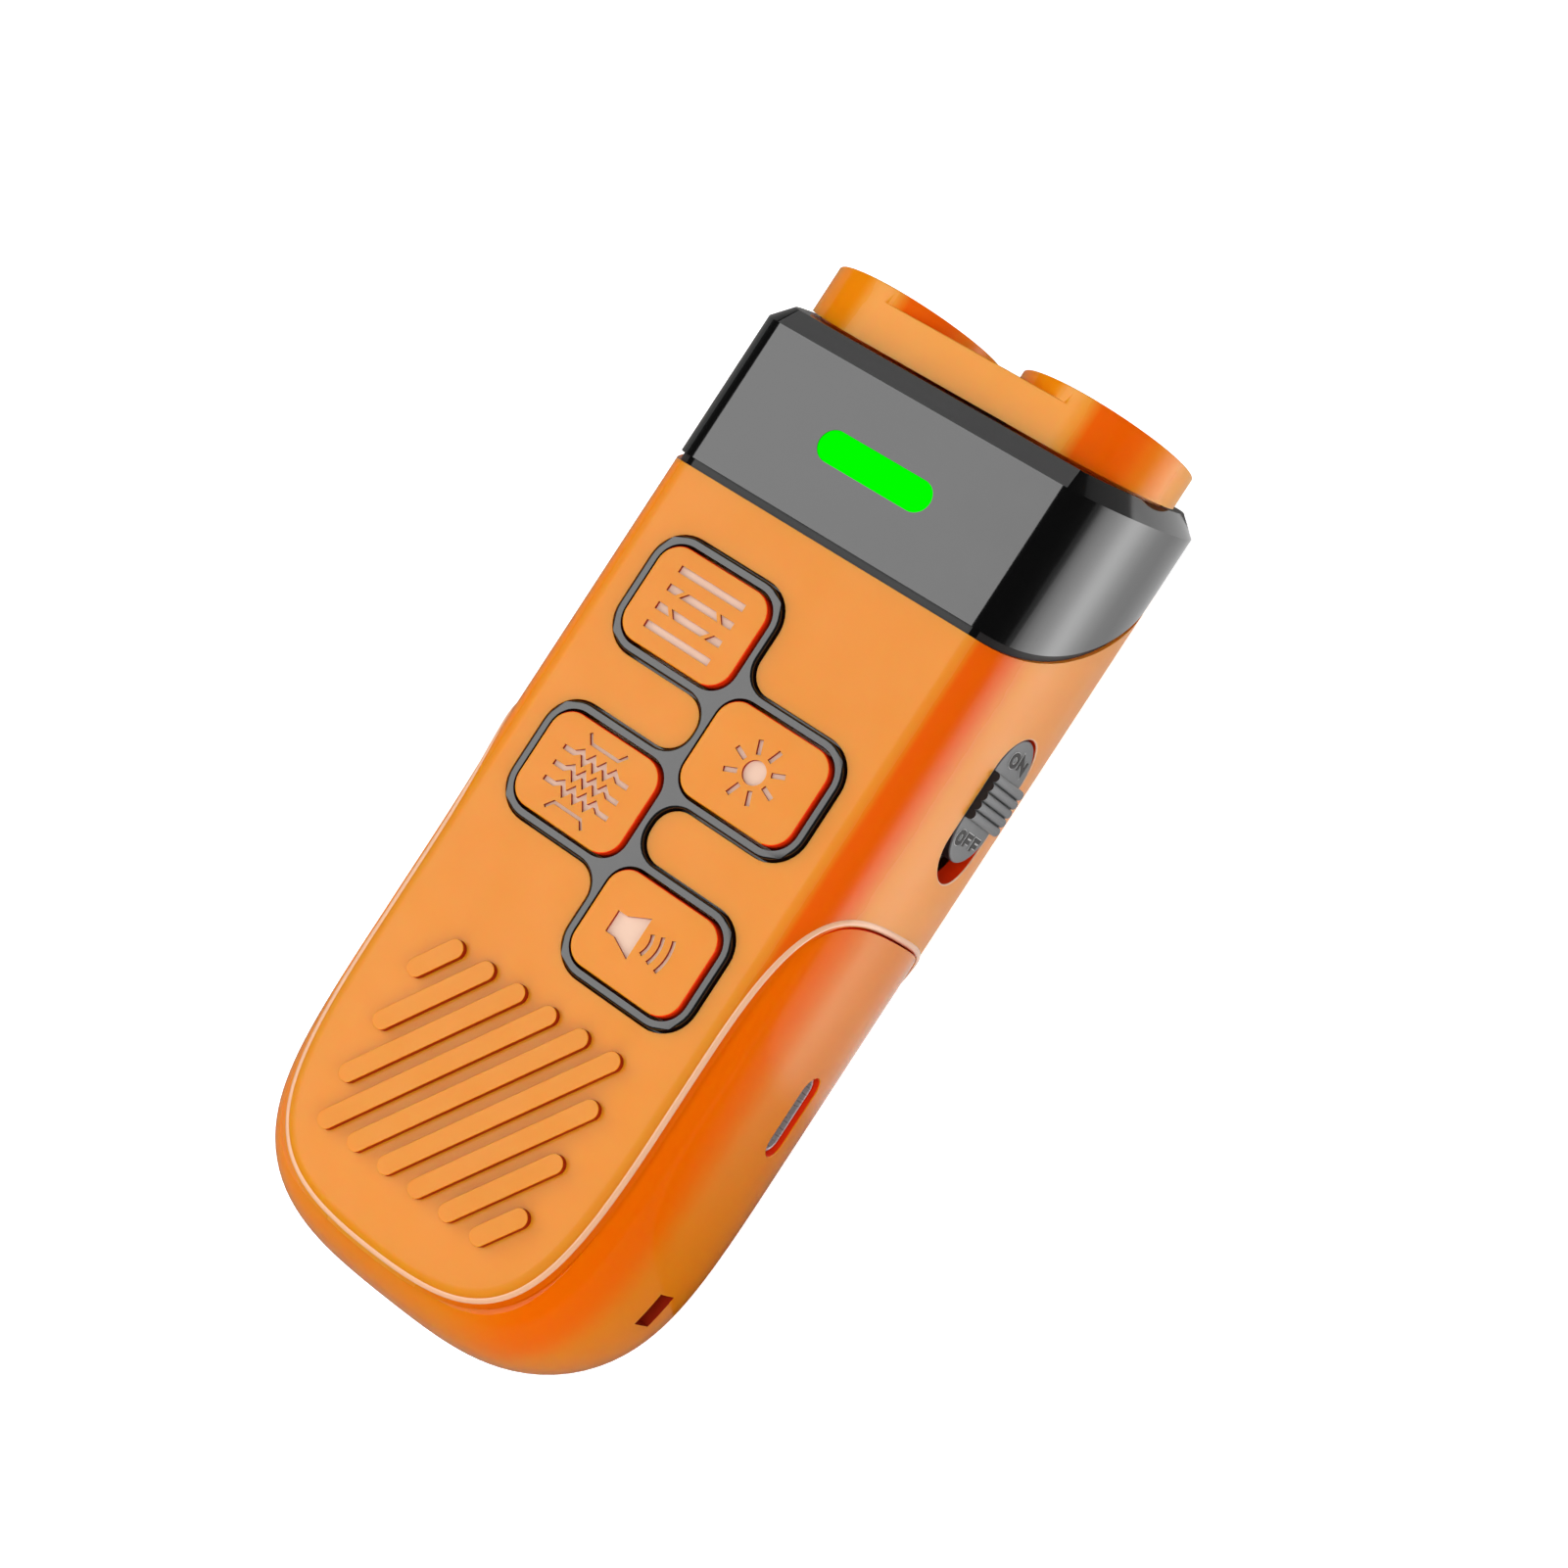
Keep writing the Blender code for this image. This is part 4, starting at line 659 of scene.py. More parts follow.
def makeRailLip():
    curve = bpy.data.curves.new("draft", "CURVE")
    curve.dimensions = "3D"
    curve.bevel_depth = railLip["radius"]
    curve.bevel_resolution = 4
    spline = curve.splines.new("POLY")
    points = lipPath()
    spline.points.add(len(points) - 1)
    for knot, point in zip(spline.points, points):
        knot.co = (*point, 1.0)
    spline.use_cyclic_u = True
    return dress(curveSolid(curve, Matrix()), "railLip", ["paintedHighlightOrange"])


makeRailLip()


# grip rail with its socket and lanyard openings

usbSocket = dict(inMm(width=8.94, height=3.26, length=7.1, sheet=0.3, y=-19.0, sunk=0.7, tongueWidth=6.7,
                      tongueThick=0.7, tongueSunk=1.0, base=1.4, rimEdge=0.13, mouthEdge=0.09, tongueEdge=0.15,
                      pinPitch=0.5, pinHalf=0.12, pinThick=0.04, pinBack=0.4), contacts=12)
lanyardSlot = inMm(length=4.0, width=3.4, y=-43.0)
boardBack = switchSlot["z"] + 1.5 * mm
usbZ = boardBack - fit - usbSocket["height"] / 2


def makeGripRail():
    bm = carve(railSlab(0), railSlab(wall))
    bm = carve(bm, caseCore(0, -reach, depth + reach))
    bm = carve(bm, railZone(fit), "INTERSECT")
    form = usbSocket
    low, high = faceHalf / 2, halfWidth + reach
    bm = carve(bm, stadium(form["width"], form["height"], low, high, form["y"], usbZ, alongX, grow=fit))
    slot = lanyardSlot
    bm = carve(bm, block((low, slot["y"] - slot["length"] / 2, middle - slot["width"] / 2),
                         (high, slot["y"] + slot["length"] / 2, middle + slot["width"] / 2)))

    def beside(co, y, length):
        return co.x > low and abs(co.y - y) < length / 2 + 1.5 * fit and abs(co.z - usbZ) < form["height"]

    soften(bm, lambda co: beside(co, form["y"], form["width"]), form["rimEdge"])
    # painted shade: dark red on the lanyard slot walls
    paint(bm, 1, lambda co, normal: abs(normal.x) < 0.25 and beside(co, slot["y"], slot["length"]))
    # painted shade: bright red on the socket opening walls
    paint(bm, 2, lambda co, normal: abs(normal.x) < 0.25 and beside(co, form["y"], form["width"]))
    # painted shade: a bright red line on the arch edge below the lip
    paint(bm, 2, lambda co, normal: abs(normal.x) < 0.02 and normal.y > 0.02 and co.y > archLine["redLow"])
    return dress(bm, "gripRail", ["railOrange", "paintedShadeDarkRed", "paintedShadeBrightRed"], ["grip_rail"])


makeGripRail()


# rear cover

rearCover = inMm(cupRadius=3.45, cupTop=3.35, seatTop=1.95, seatRadius=2.45, hole=1.25, post=1.2, postX=15.3,
                 postY=-42.5, edge=0.2)
screwPlaces = [(-14.0 * mm, 28.7 * mm), (14.0 * mm, 28.7 * mm), (-11.0 * mm, -44.5 * mm), (11.0 * mm, -44.5 * mm)]


def makeRearCover():
    form = rearCover
    bm = carve(caseSlab(0), backSlice(rim), "INTERSECT")
    bm = carve(bm, bandSide(-caseForm["bandGap"], False), "INTERSECT")
    for x, y in screwPlaces:
        bm = carve(bm, cylinder(form["cupRadius"], rim / 2, form["cupTop"], x, y, segments=48), "UNION")
        bm = carve(bm, cylinder(form["seatRadius"], -reach, form["seatTop"], x, y, segments=48))
        bm = carve(bm, cylinder(form["seatRadius"] + 2 * form["edge"], -form["edge"], form["edge"], x, y, segments=48,
                                taper=2 * form["edge"]))
        bm = carve(bm, cylinder(form["hole"], -reach, middle, x, y, segments=32))
    bm = carve(bm, cylinder(form["post"], rim / 2, depth - wall - fit, form["postX"], form["postY"], segments=32),
               "UNION")
    return dress(bm, "rearCover", ["caseOrange"], ["rear_cover"])


makeRearCover()


# head band and its window

headBand = inMm(lip=0.85, lipDeep=0.4, spigot=9.25, hornX=12.3, hornForward=0.85)
window = inMm(length=14.2, width=3.5, y=40.1, flange=1.1, flangeThick=1.2, crown=0.06, gap=0.04)
hornX, hornZ = headBand["hornX"], middle + headBand["hornForward"]


def makeHeadBand():
    form = headBand
    chamfer = bandLine["chamfer"]
    bm = carve(caseSlab(0), bandSide(0, True), "INTERSECT")
    bm = carve(bm, belowTop(-chamfer * hypot(1, bandLine["slope"])), "INTERSECT")
    slope = Vector((0, 1, bandLine["slope"])).normalized()
    top = [face for face in bm.faces if face.normal.dot(slope) > 0.999]
    bmesh.ops.inset_region(bm, faces=top, thickness=chamfer, depth=chamfer, use_even_offset=True)
    bm = carve(bm, carve(caseSlab(wall), belowTop(-wall), "INTERSECT"))
    for side in (-1, 1):
        bm = carve(bm, cylinder(form["spigot"], 0, caseTop, side * hornX, -hornZ, alongY))
    bm = carve(bm, stadium(window["length"], window["width"], depth - 2 * wall, depth + reach, 0, window["y"],
                           grow=window["gap"]))
    bm = carve(bm, carve(bandSide(form["lip"], False), caseSlab(form["lipDeep"])))

    def onLip(co):
        deep = bulgeAt(co.z) + faceHalf - 2 * form["lipDeep"]
        return 0 < co.y - bandEdge(depth - co.z) < form["lip"] and abs(co.x) > deep

    # painted reflection: satin grey on the front of the top chamfer
    paint(bm, 1, lambda co, normal: co.z > depth - chamfer - fit and abs(normal.x) < 0.2 and normal.y > 0.3
          and normal.z > 0.3)
    # painted shade: black on the lip's recessed sides
    paint(bm, 2, lambda co, normal: abs(normal.y) < 0.1 and onLip(co))
    # painted reflection: dark grey on the lip's recessed front
    paint(bm, 3, lambda co, normal: normal.z > 0.99 and abs(co.z - depth + form["lipDeep"]) < 0.02 * mm)
    return dress(bm, "headBand", ["bandBlack", "bandPaintedReflection", "blackAndPaintedShade", "lipPaintedReflection"],
                 ["head_band"], sharp=20)


def makeWindow():
    form = window
    top = depth - wall - fit
    low = top - form["flangeThick"]
    bm = stadium(form["length"], form["width"], low, depth, 0, form["y"])
    soften(bm, lambda co: co.z > depth - touch, form["crown"], 3)
    wide = stadium(form["length"], form["width"], low - fit / 2, top, 0, form["y"], grow=form["flange"])
    bm = carve(bm, wide, "UNION")
    return dress(bm, "indicatorWindow", ["windowGlow"], ["indicator_window"])


makeHeadBand()
makeWindow()


# twin-horn cap with the lamp and the sounder

hornCap = inMm(radius=10.25, top=57.85, webDrop=1.7, lip=0.8, flare=2.5, bore=7.9, ledge=51.0, ledgeWidth=0.8,
               spigot=9.0, spigotDrop=7.0, spigotRise=3.0, rim=0.12)
lamp = inMm(lens=1.2, crown=0.5, cup=9.5, cupWall=0.8, throat=2.0, led=1.5, ledHeight=1.6, board=5.8, boardThick=1.2)
grille = dict(inMm(thick=0.8, hole=0.7, pitch=2.1, drill=4.0), rings=3)


def makeHornCap():
    form = hornCap
    bm = None
    for side in (-1, 1):
        horn = cylinder(form["radius"], bandTop, form["top"], side * hornX, -hornZ, alongY, 128)
        bm = horn if bm is None else carve(bm, horn, "UNION")
    slim = form["radius"] - touch
    web = block((-hornX, bandTop, hornZ - slim), (hornX, form["top"] - form["webDrop"], hornZ + slim))
    soften(web, lambda co: co.y > form["top"] - form["webDrop"] - touch, form["rim"])
    bm = carve(bm, web, "UNION")
    bm = carve(bm, belowTop(fit))
    for side in (-1, 1):
        spigot = cylinder(form["spigot"], form["ledge"] - form["spigotDrop"], form["ledge"] + form["spigotRise"],
                          side * hornX, -hornZ, alongY)
        bm = carve(bm, spigot, "UNION")
    lip = form["radius"] - form["lip"]
    flare = lip - form["bore"]
    small = form["bore"] - form["ledgeWidth"]
    profile = [(0, form["top"] + form["flare"]), (lip + flare, form["top"] + form["flare"]),
               (form["bore"], form["top"] - form["flare"]), (form["bore"], form["ledge"]), (small, form["ledge"]),
               (small, 0), (0, 0)]
    for side in (-1, 1):
        bm = carve(bm, turned(profile, side * hornX, hornZ))
    soften(bm, lambda co: co.y > form["top"] - touch, form["rim"], 3, 55)
    outside = form["radius"] - 0.2 * mm
    # painted shade: the horn's left outer faces take the paler turn shade
    paint(bm, 1, lambda co, normal: normal.x < 0 and hypot(abs(co.x) - hornX, co.z - hornZ) > outside)
    return dress(bm, "hornCap", ["hornOrange", "hornLeftPaintedShade"], ["horn_cap"])


def makeLamp():
    form = lamp
    low = hornCap["ledge"] + fit
    radius = hornCap["bore"] - fit
    steps = 12
    dome = [(radius * step / steps, low + form["lens"] + form["crown"] * (1 - (step / steps) ** 2))
            for step in range(steps + 1)]
    dress(turned(dome + [(radius, low), (0, low)], -hornX, hornZ), "lampLens", ["lensClear"],
          ["lamp_lens"])
    rimRadius = hornCap["bore"] - hornCap["ledgeWidth"] - fit
    top = hornCap["ledge"] - fit
    base = top - form["cup"]
    room = rimRadius - form["cupWall"] - form["throat"]
    inner = [(form["throat"] + room * sqrt(step / 20), base + form["cup"] * step / 20) for step in range(21)]
    outer = [(across + form["cupWall"], along) for across, along in inner]
    dress(turned(list(reversed(outer)) + inner, -hornX, hornZ), "lampReflector", ["mirrorCoat"],
          ["lamp_reflector"])
    boardTop = base - fit
    sphere = [(form["led"] * sin(step * pi / 16), boardTop + fit + form["ledHeight"] * cos(step * pi / 16))
              for step in range(9)]
    profile = sphere + [(form["led"], boardTop), (form["board"], boardTop),
                        (form["board"], boardTop - form["boardThick"]), (0, boardTop - form["boardThick"])]
    dress(turned(profile, -hornX, hornZ, 64), "lampLed", ["ledYellow"], ["lamp_led"])


def makeSounder():
    form = grille
    low = hornCap["ledge"] + fit
    bm = cylinder(hornCap["bore"] - fit, low, low + form["thick"], hornX, -hornZ, alongY)
    holes = bmesh.new()
    for row in range(-form["rings"], form["rings"] + 1):
        count = 2 * form["rings"] + 1 - abs(row)
        for index in range(count):
            x = hornX + (index - (count - 1) / 2) * form["pitch"]
            z = hornZ + row * form["pitch"] * sqrt(3) / 2
            bmesh.ops.create_cone(holes, cap_ends=True, segments=24, radius1=form["hole"], radius2=form["hole"],
                                  depth=form["drill"], matrix=Matrix.Translation((x, low, z)) @ alongY)
    bm = carve(bm, holes)
    dress(bm, "sounderGrille", ["grilleMetal"], ["sounder_grille"])


makeHornCap()
makeLamp()
makeSounder()


# button frame and buttons

iconCut = inMm(depth=0.38, bar=0.82, barHalf=4.3, ray=0.55, wave=0.55, thin=0.36, barFar=3.24, barNear=1.08,
               short=1.85, long=2.55, space=0.55, sun=1.32, rayStart=1.85, rayEnd=3.4, arc=0.46)
buttonForm = inMm(rimTop=26.85, rimLow=25.85, rim=0.7, edge=0.18, post=1.7, postLow=23.45)
buttonTop = depth + keypad["frameProud"] + keypad["buttonProud"]


def buttonCorners(grow, x, y):
    width, height = keypad["buttonWidth"] + 2 * grow, keypad["buttonHeight"] + 2 * grow
    radius = keypad["corner"] + grow
    return [(x + width / 2, y - height / 2, radius), (x + width / 2, y + height / 2, radius),
            (x - width / 2, y + height / 2, radius), (x - width / 2, y - height / 2, radius)]


def makeButtonFrame():
    form = keypad
    flangeTop = depth - wall - fit
    border = form["border"]
    bm = roundPlate(keypadCorners(border, form["corner"] + border, form["fillet"]), flangeTop - form["plateDeep"],
                    depth + form["frameProud"])
    wide = border + form["flange"]
    flange = roundPlate(keypadCorners(wide, form["corner"] + wide, form["fillet"] - form["flange"]),
                        flangeTop - form["flangeThick"], flangeTop)
    bm = carve(bm, flange, "UNION")
    for x, y in buttonPlaces:
        bm = carve(bm, roundPlate(buttonCorners(form["gap"], x, y), middle, depth + reach))
    spanX, spanY = form["buttonWidth"] / 2 + form["gap"] + touch, form["buttonHeight"] / 2 + form["gap"] + touch

    def byButton(co):
        return any(abs(co.x - x) < spanX and abs(co.y - y) < spanY for x, y in buttonPlaces)

    soften(bm, lambda co: co.z > depth + 0.1 * mm and not byButton(co), form["edge"], 4)
    soften(bm, lambda co: co.z > depth + form["frameProud"] - touch and byButton(co), form["innerEdge"], 2)
    return dress(bm, "buttonFrame", ["frameBlack"], ["button_frame"])


def strokePath(points, width):
    # both sides of a polyline as one outline with mitred corners
    left, right = [], []
    for index, point in enumerate(points):
        here = Vector(point)
        before = (here - Vector(points[index - 1])).normalized() if index else None
        after = (Vector(points[index + 1]) - here).normalized() if index + 1 < len(points) else None
        along = ((before or after) + (after or before)).normalized()
        normal = Vector((-along.y, along.x))
        ahead = after or before
        stretch = width / 2 / max(0.35, normal.dot(Vector((-ahead.y, ahead.x))))
        left.append(tuple(here + normal * stretch))
        right.append(tuple(here - normal * stretch))
    return left + list(reversed(right))


def barsIcon():
    form = iconCut
    half, thick = form["barHalf"], form["bar"] / 2
    outlines = []
    for y in (form["barFar"], -form["barFar"]):
        outlines.append([(-half, y - thick), (half, y - thick), (half, y + thick), (-half, y + thick)])
    for flip in (1, -1):
        near, far = form["barNear"] - thick, form["barNear"] + thick
        short, long, space = form["short"], form["long"], form["space"]
        outlines.append([(-long, flip * near), (long, flip * near), (short, flip * far), (-short, flip * far)])
        for side in (-1, 1):
            outlines.append([(side * (long + space), flip * near), (side * half, flip * near),
                             (side * half, flip * far), (side * (short + space), flip * far)])
    return outlines


def sunIcon():
    form = iconCut
    outlines = [[(form["sun"] * cos(step * pi / 20), form["sun"] * sin(step * pi / 20)) for step in range(40)]]
    for index in range(8):
        turn = radians(22.5 + 45 * index)
        ray = [(away * cos(turn), away * sin(turn)) for away in (form["rayStart"], form["rayEnd"])]
        outlines.append(strokePath(ray, form["ray"]))
    return outlines


def wavesIcon():
    outlines = []
    wave = [(-4.35, 0), (-2.95, 0), (-2.15, 0.6), (-1.4, -0.4), (-0.7, 0.6), (0.05, -0.4), (0.75, 0.6), (1.5, -0.4),
            (2.2, 0.6), (2.95, 0), (4.35, 0)]
    for y in (1.75, -0.1, -1.95):
        outlines.append(strokePath([(x * mm, (y + rise) * mm) for x, rise in wave], iconCut["wave"]))
    for flip in (1, -1):
        hook = [(-2.5, 4.4), (-1.8, 3.5), (1.8, 3.5), (2.5, 4.4)]
        outlines.append(strokePath([(x * mm, flip * y * mm) for x, y in hook], iconCut["thin"]))
    return outlines


def speakerIcon():
    horn = [(-4.25, 1.22), (-4.25, -1.22), (-3.1, -1.22), (-0.6, -2.4), (-0.6, 2.4), (-3.1, 1.22)]
    outlines = [[(x * mm, y * mm) for x, y in horn]]
    for radius, half in ((2.3, 1.15), (3.45, 1.5), (4.7, 1.8)):
        swing = asin(half / radius)
        arc = [((-1.6 + radius * cos(swing * step / 6)) * mm, radius * sin(swing * step / 6) * mm)
               for step in range(-6, 7)]
        outlines.append(strokePath(arc, iconCut["arc"]))
    return outlines


def makeButton(name, at, outlines):
    form = buttonForm
    x, y = at
    bm = roundPlate(buttonCorners(0, x, y), form["rimLow"], buttonTop)
    soften(bm, lambda co: co.z > buttonTop - touch, form["edge"], 4)
    wide = buttonCorners(form["rim"], x, y)
    bm = carve(bm, roundPlate(wide, form["rimLow"] - 0.1 * mm, form["rimTop"] - 0.1 * mm), "UNION")
    bm = carve(bm, cylinder(form["post"], form["postLow"], form["rimLow"] + fit, x, y, segments=32), "UNION")
    floor = buttonTop - iconCut["depth"]
    icon = bmesh.new()
    for outline in outlines:
        join(icon, plate([(x + a, y + b) for a, b in outline], floor, buttonTop + reach))
    bm = carve(bm, icon)
    halfW, halfH = keypad["buttonWidth"] / 2 - fit, keypad["buttonHeight"] / 2 - fit
    paint(bm, 1, lambda co, normal: abs(co.z - floor) < touch)
    # painted shade: bright red on the button walls and on edge faces that face right and up
    paint(bm, 2, lambda co, normal: abs(normal.z) < 0.4 and co.z > form["rimTop"])
    paint(bm, 2, lambda co, normal: 0.1 < normal.z < 0.96 and co.z > floor and (normal.x > 0.1 or normal.y > 0.3))
    # painted shade: dark red on the icon walls
    paint(bm, 3, lambda co, normal: abs(normal.z) < 0.4 and co.z > floor and abs(co.x - x) < halfW
          and abs(co.y - y) < halfH)
    return dress(bm, name + "ButtonCap", ["caseOrange", "iconPaint", "paintedShadeBrightRed", "paintedShadeDarkRed"],
                 [name + "_button"], name + "_button")


makeButtonFrame()
for name, at, icon in zip(("mode", "light", "pulse", "sound"), buttonPlaces,
                          (barsIcon, sunIcon, wavesIcon, speakerIcon)):
    makeButton(name, at, icon())


# slide switch knob

knob = dict(inMm(length=14.5, width=8.3, y=18.85, sunk=0.2, flange=1.2, flangeInset=2.8, gripLength=5.5,
                 gripMargin=0.03, proud=0.68, ribDeep=0.5, edge=0.2, letterTall=1.8, letterGap=0.35, stroke=0.48,
                 letterProud=0.12, letterShade=0.08, gripSunk=0.3, wallDeep=0.5), ribs=5,
            words=(("ON", 4.75 * mm, 4.7 * mm), ("OFF", -4.75 * mm, 6.4 * mm)))


def letterStrokes(letter, half, tall):
    if letter == "O":
        bend = [(half * sin(pi * step / 10), tall * cos(pi * step / 10)) for step in range(11)]
        return [bend, [(-x, -y) for x, y in bend]]
    if letter == "N":
        return [[(-half, -tall), (-half, tall), (half, -tall), (half, tall)]]
    return [[(half, tall), (-half, tall), (-half, -tall)], [(-half + knob["stroke"] / 2, 0), (0.7 * half, 0)]]


def lettering(text, y, width, outer, spare, proud, index):
    form = knob
    # text reads from front to back across the knob, with its top towards the horns
    turn = Matrix(((0, 0, 1, outer), (0, 1, 0, form["y"] + y), (-1, 0, 0, switchSlot["z"]), (0, 0, 0, 1)))
    pitch = (width + form["letterGap"]) / len(text)
    half, tall = (pitch - form["letterGap"] - form["stroke"]) / 2, (form["letterTall"] - form["stroke"]) / 2
    bm = bmesh.new()
    for place, letter in enumerate(text):
        x = (place - (len(text) - 1) / 2) * pitch
        for stroke in letterStrokes(letter, half, tall):
            outline = strokePath([(x + a, b) for a, b in stroke], form["stroke"] + 2 * spare)
            join(bm, plate(outline, -proud, proud, turn))
    bmesh.ops.recalc_face_normals(bm, faces=bm.faces)
    paint(bm, index, lambda co, normal: True)
    return bm


def makeKnob():
    form = knob
    outer = halfWidth - form["sunk"]
    flangeOuter = halfWidth - form["flangeInset"]
    flangeInner = flangeOuter - form["flange"]
    y, z = form["y"], switchSlot["z"]
    bm = stadium(form["length"], form["width"], flangeInner + fit, outer, y, z, alongX)
    soften(bm, lambda co: co.x > outer - touch, form["edge"], 4)
    wide = stadium(form["length"], form["width"], flangeInner, flangeOuter, y, z, alongX, grow=form["flange"])
    bm = carve(bm, wide, "UNION")
    crest = halfWidth + form["proud"]
    gripHalf = form["width"] / 2 - form["gripMargin"]
    pitch = form["gripLength"] / form["ribs"]
    start = y - form["gripLength"] / 2
    valley = crest - form["ribDeep"]
    wave = [(start, outer - form["gripSunk"]), (start, valley)]
    for rib in range(form["ribs"]):
        for step in range(1, 9):
            wave.append((start + pitch * (rib + 0.5 - 0.5 * cos(pi * step / 8)),
                         valley + form["ribDeep"] * sin(pi * step / 8)))
    wave.append((start + form["gripLength"], outer - form["gripSunk"]))
    sideways = Matrix(((0, 1, 0, 0), (1, 0, 0, 0), (0, 0, 1, z), (0, 0, 0, 1)))
    grip = plate(wave, -gripHalf, gripHalf, sideways)
    bmesh.ops.recalc_face_normals(grip, faces=grip.faces)
    bm = carve(bm, grip, "UNION")
    # painted shade: black on the knob below the slot's edge and on the grip's ends
    paint(bm, 1, lambda co, normal: co.x < outer - form["wallDeep"] or (co.x > outer and abs(normal.z) > 0.7))
    # painted light: each letter is dark as its shadow, over a slightly wider pale rim as its highlight
    for text, place, width in form["words"]:
        join(bm, lettering(text, place, width, outer, form["letterShade"], form["letterProud"] / 2, 2))
        join(bm, lettering(text, place, width, outer, 0.0, form["letterProud"], 3))
    return dress(bm, "slideKnob", ["knobGrey", "blackAndPaintedShade", "letterPaintedHighlight", "blackAndPaintedShade"], ["slide_knob"],
                 "slide_knob")


makeKnob()


# charging socket

def makeSocket():
    form = usbSocket
    mouth = railWidth - form["sunk"]
    back = mouth - form["length"]
    y = form["y"]
    bm = stadium(form["width"], form["height"], back, mouth, y, usbZ, alongX)
    wide, tall = form["width"] - 2 * form["sheet"], form["height"] - 2 * form["sheet"]
    bm = carve(bm, stadium(wide, tall, back + form["sheet"], mouth + reach, y, usbZ, alongX))
    soften(bm, lambda co: co.x > mouth - touch, form["mouthEdge"], 3)
    dress(bm, "socketShell", ["socketSteel"], ["usb_shell"])
    inside = back + form["sheet"] + fit
    bm = stadium(wide - 2 * fit, tall - 2 * fit, inside, inside + form["base"], y, usbZ, alongX)
    tip = mouth - form["tongueSunk"]
    halfW, halfT = form["tongueWidth"] / 2, form["tongueThick"] / 2
    tongue = block((inside + fit, y - halfW, usbZ - halfT), (tip, y + halfW, usbZ + halfT))
    soften(tongue, lambda co: co.x > tip - touch, form["tongueEdge"], 2)
    bm = carve(bm, tongue, "UNION")
    dress(bm, "socketTongue", ["tongueGrey"], ["usb_tongue"])
    pins = bmesh.new()
    for index in range(form["contacts"]):
        at = y + (index - (form["contacts"] - 1) / 2) * form["pinPitch"]
        for face in (-1, 1):
            z = usbZ + face * halfT
            pin = block((inside + form["base"], at - form["pinHalf"], z - form["pinThick"]),
                        (tip - form["pinBack"], at + form["pinHalf"], z + form["pinThick"]))
            join(pins, pin)
    dress(pins, "socketContacts", ["contactGold"])


makeSocket()


# screws in the back

screwForm = inMm(head=2.2, sunk=0.6, thick=1.1, shank=1.0, length=8.0, slot=0.5, cross=1.25, edge=0.25)


def makeScrews():
    form = screwForm
    names = ("upper_left", "upper_right", "lower_left", "lower_right")
    for name, (x, y) in zip(names, screwPlaces):
        seat = form["sunk"] + form["thick"]
        bm = cylinder(form["head"], form["sunk"], seat, x, y, segments=48)
        soften(bm, lambda co: co.z < form["sunk"] + touch, form["edge"], 4)
        bm = carve(bm, cylinder(form["shank"], seat - form["thick"] / 2, seat + form["length"], x, y, segments=32),
                   "UNION")
        for along, across in ((form["cross"], form["slot"] / 2), (form["slot"] / 2, form["cross"])):
            bm = carve(bm, block((x - along, y - across, 0), (x + along, y + across, form["sunk"] + form["slot"])))
        dress(bm, name.replace("_l", "L").replace("_r", "R") + "Screw", ["screwSteel"],
              [name + "_screw"])


makeScrews()


# finishes on the CAD pieces that stay

innerFinish = dict(battery="cellFoil", circuit_board="boardMask", indicator_board="boardMask", sounder="sounderCan",
                   slide_switch="socketSteel", slide_lever="blackAndPaintedShade")
for stem in ("mode", "light", "pulse", "sound"):
    innerFinish[stem + "_switch"] = "blackAndPaintedShade"
    innerFinish[stem + "_plunger"] = "paleNylon"
for node, kind in innerFinish.items():
    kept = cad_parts[node]
    kept.data.materials.clear()
    kept.data.materials.append(finish[kind])
print("inner pieces finished:", len(innerFinish))


# floor, light and camera

white = (1.0, 1.0, 1.0, 1.0)
stageSet = dict(floorSize=1.0, floorDrop=0.03 * mm, floorColour=0.82, floorMirror=0.22, floorGlow=0.75,
                zenith=0.03, horizon=0.05, haze=0.35)
# tilts lean from straight above towards +X and +Y
panels = dict(key=dict(tilt=(-29.5, 0.0), away=0.6, size=(0.65, 0.28), power=1.58, seen="glossy"),
              front=dict(tilt=(8.0, 0.0), away=0.7, size=(0.70, 0.70), power=2.78, seen="diffuse"),
              fill=dict(tilt=(62.0, 0.0), away=0.55, size=(0.60, 0.30), power=1.2, seen="diffuse"),
              left=dict(tilt=(-62.0, 0.0), away=0.55, size=(0.60, 0.30), power=1.8, seen="diffuse"),
              foot=dict(tilt=(0.0, -60.0), away=0.6, size=(0.30, 0.60), power=1.3, seen="diffuse"))
# a low card beside the case that only shows as a reflection: X in mm and brightness, Y in mm and share
sideCard = dict(bands=((20, 0.75), (28, 0.82), (32, 1.15), (36.5, 2.0), (40, 2.9), (44, 3.6), (48, 3.5),
                       (55, 2.8), (64, 2.4), (78, 2.1), (106, 1.5), (150, 0.6), (190, 0.2)),
                fall=((-45, 0), (-37, 0.065), (-30, 0.15), (-23.5, 0.26), (-20, 0.33), (-16.5, 0.84), (-10, 1)),
                low=-45 * mm, high=75 * mm, up=0.4 * mm, widest=200, brightest=5.0)
view = dict(place=(0.1466, 0.0089, 0.3226), yaw=25.0, roll=33.1, lens=74.86)


def stageSheet(name, size, middlePlace, material):
    bm = bmesh.new()
    bmesh.ops.create_grid(bm, x_segments=1, y_segments=1, size=0.5)
    bmesh.ops.scale(bm, vec=(*size, 1), verts=bm.verts)
    bmesh.ops.translate(bm, vec=middlePlace, verts=bm.verts)
    mesh = bpy.data.meshes.new(name)
    bm.to_mesh(mesh)
    bm.free()
    mesh.materials.append(material)
    sheet = bpy.data.objects.new(name, mesh)
    scene.collection.objects.link(sheet)
    return sheet


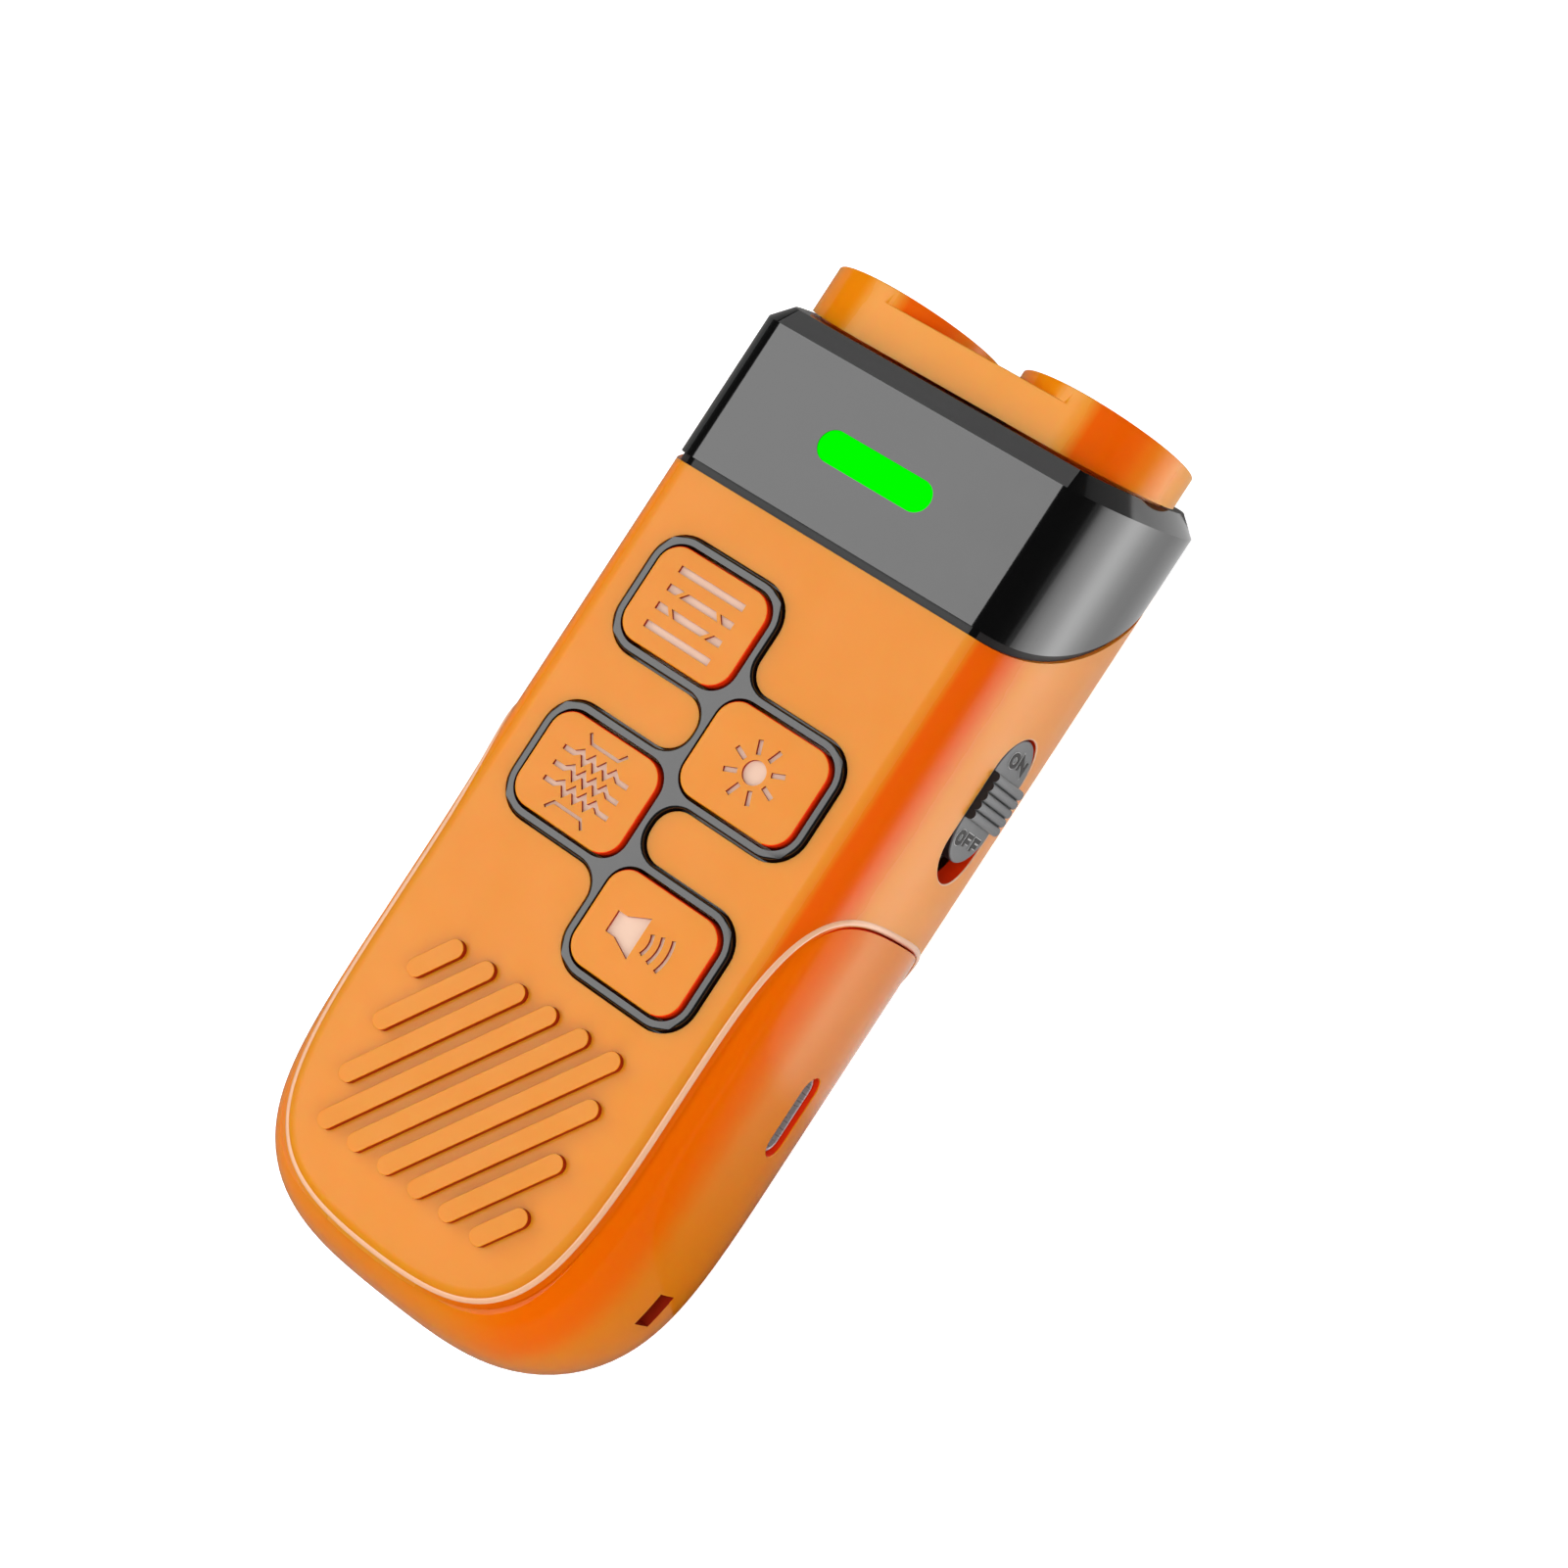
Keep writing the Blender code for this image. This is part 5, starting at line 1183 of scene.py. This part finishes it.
def makeFloor():
    form = stageSet
    plain, mirrored = [form["floorColour"]] * 3, [form["floorMirror"]] * 3
    made, tree, sockets = newMaterial("floorPale", plain, 0.9, {"Emission Color": white})
    rays = addNode(tree, "LightPath").outputs
    feed(tree, sockets["Base Color"], mixTones(tree, rays["Is Glossy Ray"], (*plain, 1.0), (*mirrored, 1.0)))
    seen = combine(tree, "MAXIMUM", rays["Is Camera Ray"], rays["Is Transmission Ray"])
    feed(tree, sockets["Emission Strength"], combine(tree, "MULTIPLY", seen, form["floorGlow"]))
    stageSheet("paleFloor", [form["floorSize"]] * 2, (0, 0, -form["floorDrop"]), made)


def makeLights():
    for name, form in panels.items():
        panel = bpy.data.lights.new(name + "Panel", "AREA")
        panel.shape = "RECTANGLE"
        panel.size, panel.size_y = form["size"]
        panel.energy = form["power"]
        holder = bpy.data.objects.new(name + "Panel", panel)
        across, along = (radians(angle) for angle in form["tilt"])
        holder.location = Vector((sin(across), sin(along), cos(across) * cos(along))) * form["away"]
        holder.rotation_euler = (Vector((0, 0, middle)) - holder.location).to_track_quat("-Z", "Y").to_euler()
        holder.visible_camera = False
        holder.visible_diffuse = form["seen"] == "diffuse"
        holder.visible_glossy = form["seen"] == "glossy"
        scene.collection.objects.link(holder)


def makeCard():
    form = sideCard
    low, high, widest, brightest = form["low"], form["high"], form["widest"], form["brightest"]
    inner, outer = form["bands"][0][0] * mm, form["bands"][-1][0] * mm
    made, tree, sockets = newMaterial("cardGlow", (0.0, 0.0, 0.0), 1.0,
                                      {"Specular IOR Level": 0.0, "Emission Color": white})
    axes = axesOf(tree)
    bands = rampOn(tree, remap(tree, axes["X"], 0.0, widest * mm),
                   [(at / widest, bright / brightest) for at, bright in form["bands"]])
    fall = rampOn(tree, remap(tree, axes["Y"], low, high),
                  [((at * mm - low) / (high - low), share) for at, share in form["fall"]])
    strength = combine(tree, "MULTIPLY", combine(tree, "MULTIPLY", bands, fall), brightest)
    feed(tree, sockets["Emission Strength"], strength)
    card = stageSheet("sideCard", (outer - inner, high - low), ((inner + outer) / 2, (low + high) / 2, form["up"]),
                      made)
    card.visible_camera = card.visible_diffuse = card.visible_shadow = card.visible_transmission = False


def makeRoom():
    # plain grey light, brighter towards the horizon, and white where the camera looks past the floor
    world = bpy.data.worlds.new("softRoom")
    world.use_nodes = True
    tree = world.node_tree
    sky = tree.nodes["Background"].inputs
    fade = remap(tree, axesOf(tree, "Generated")["Z"], 0.0, stageSet["haze"], stageSet["horizon"], stageSet["zenith"])
    sky["Color"].default_value = white
    seen = combine(tree, "MAXIMUM", fade, addNode(tree, "LightPath").outputs["Is Camera Ray"])
    feed(tree, sky["Strength"], seen)
    scene.world = world


def makeCamera():
    lens = bpy.data.cameras.new("photoView")
    lens.lens = view["lens"]
    lens.sensor_width = 36.0
    lens.clip_start = 0.01
    holder = bpy.data.objects.new("photoView", lens)
    yaw, roll = radians(view["yaw"]), radians(view["roll"])
    sideways = Vector((cos(yaw), 0, -sin(yaw)))
    ahead = Vector((-sin(yaw), 0, -cos(yaw)))
    lengthwise = Vector((0, 1, 0))
    right = cos(roll) * sideways + sin(roll) * lengthwise
    up = -sin(roll) * sideways + cos(roll) * lengthwise
    turn = Matrix((right, up, -ahead)).transposed().to_4x4()
    holder.matrix_world = Matrix.Translation(view["place"]) @ turn
    scene.collection.objects.link(holder)
    scene.camera = holder


makeFloor()
makeLights()
makeCard()
makeRoom()
makeCamera()
print("stage set")
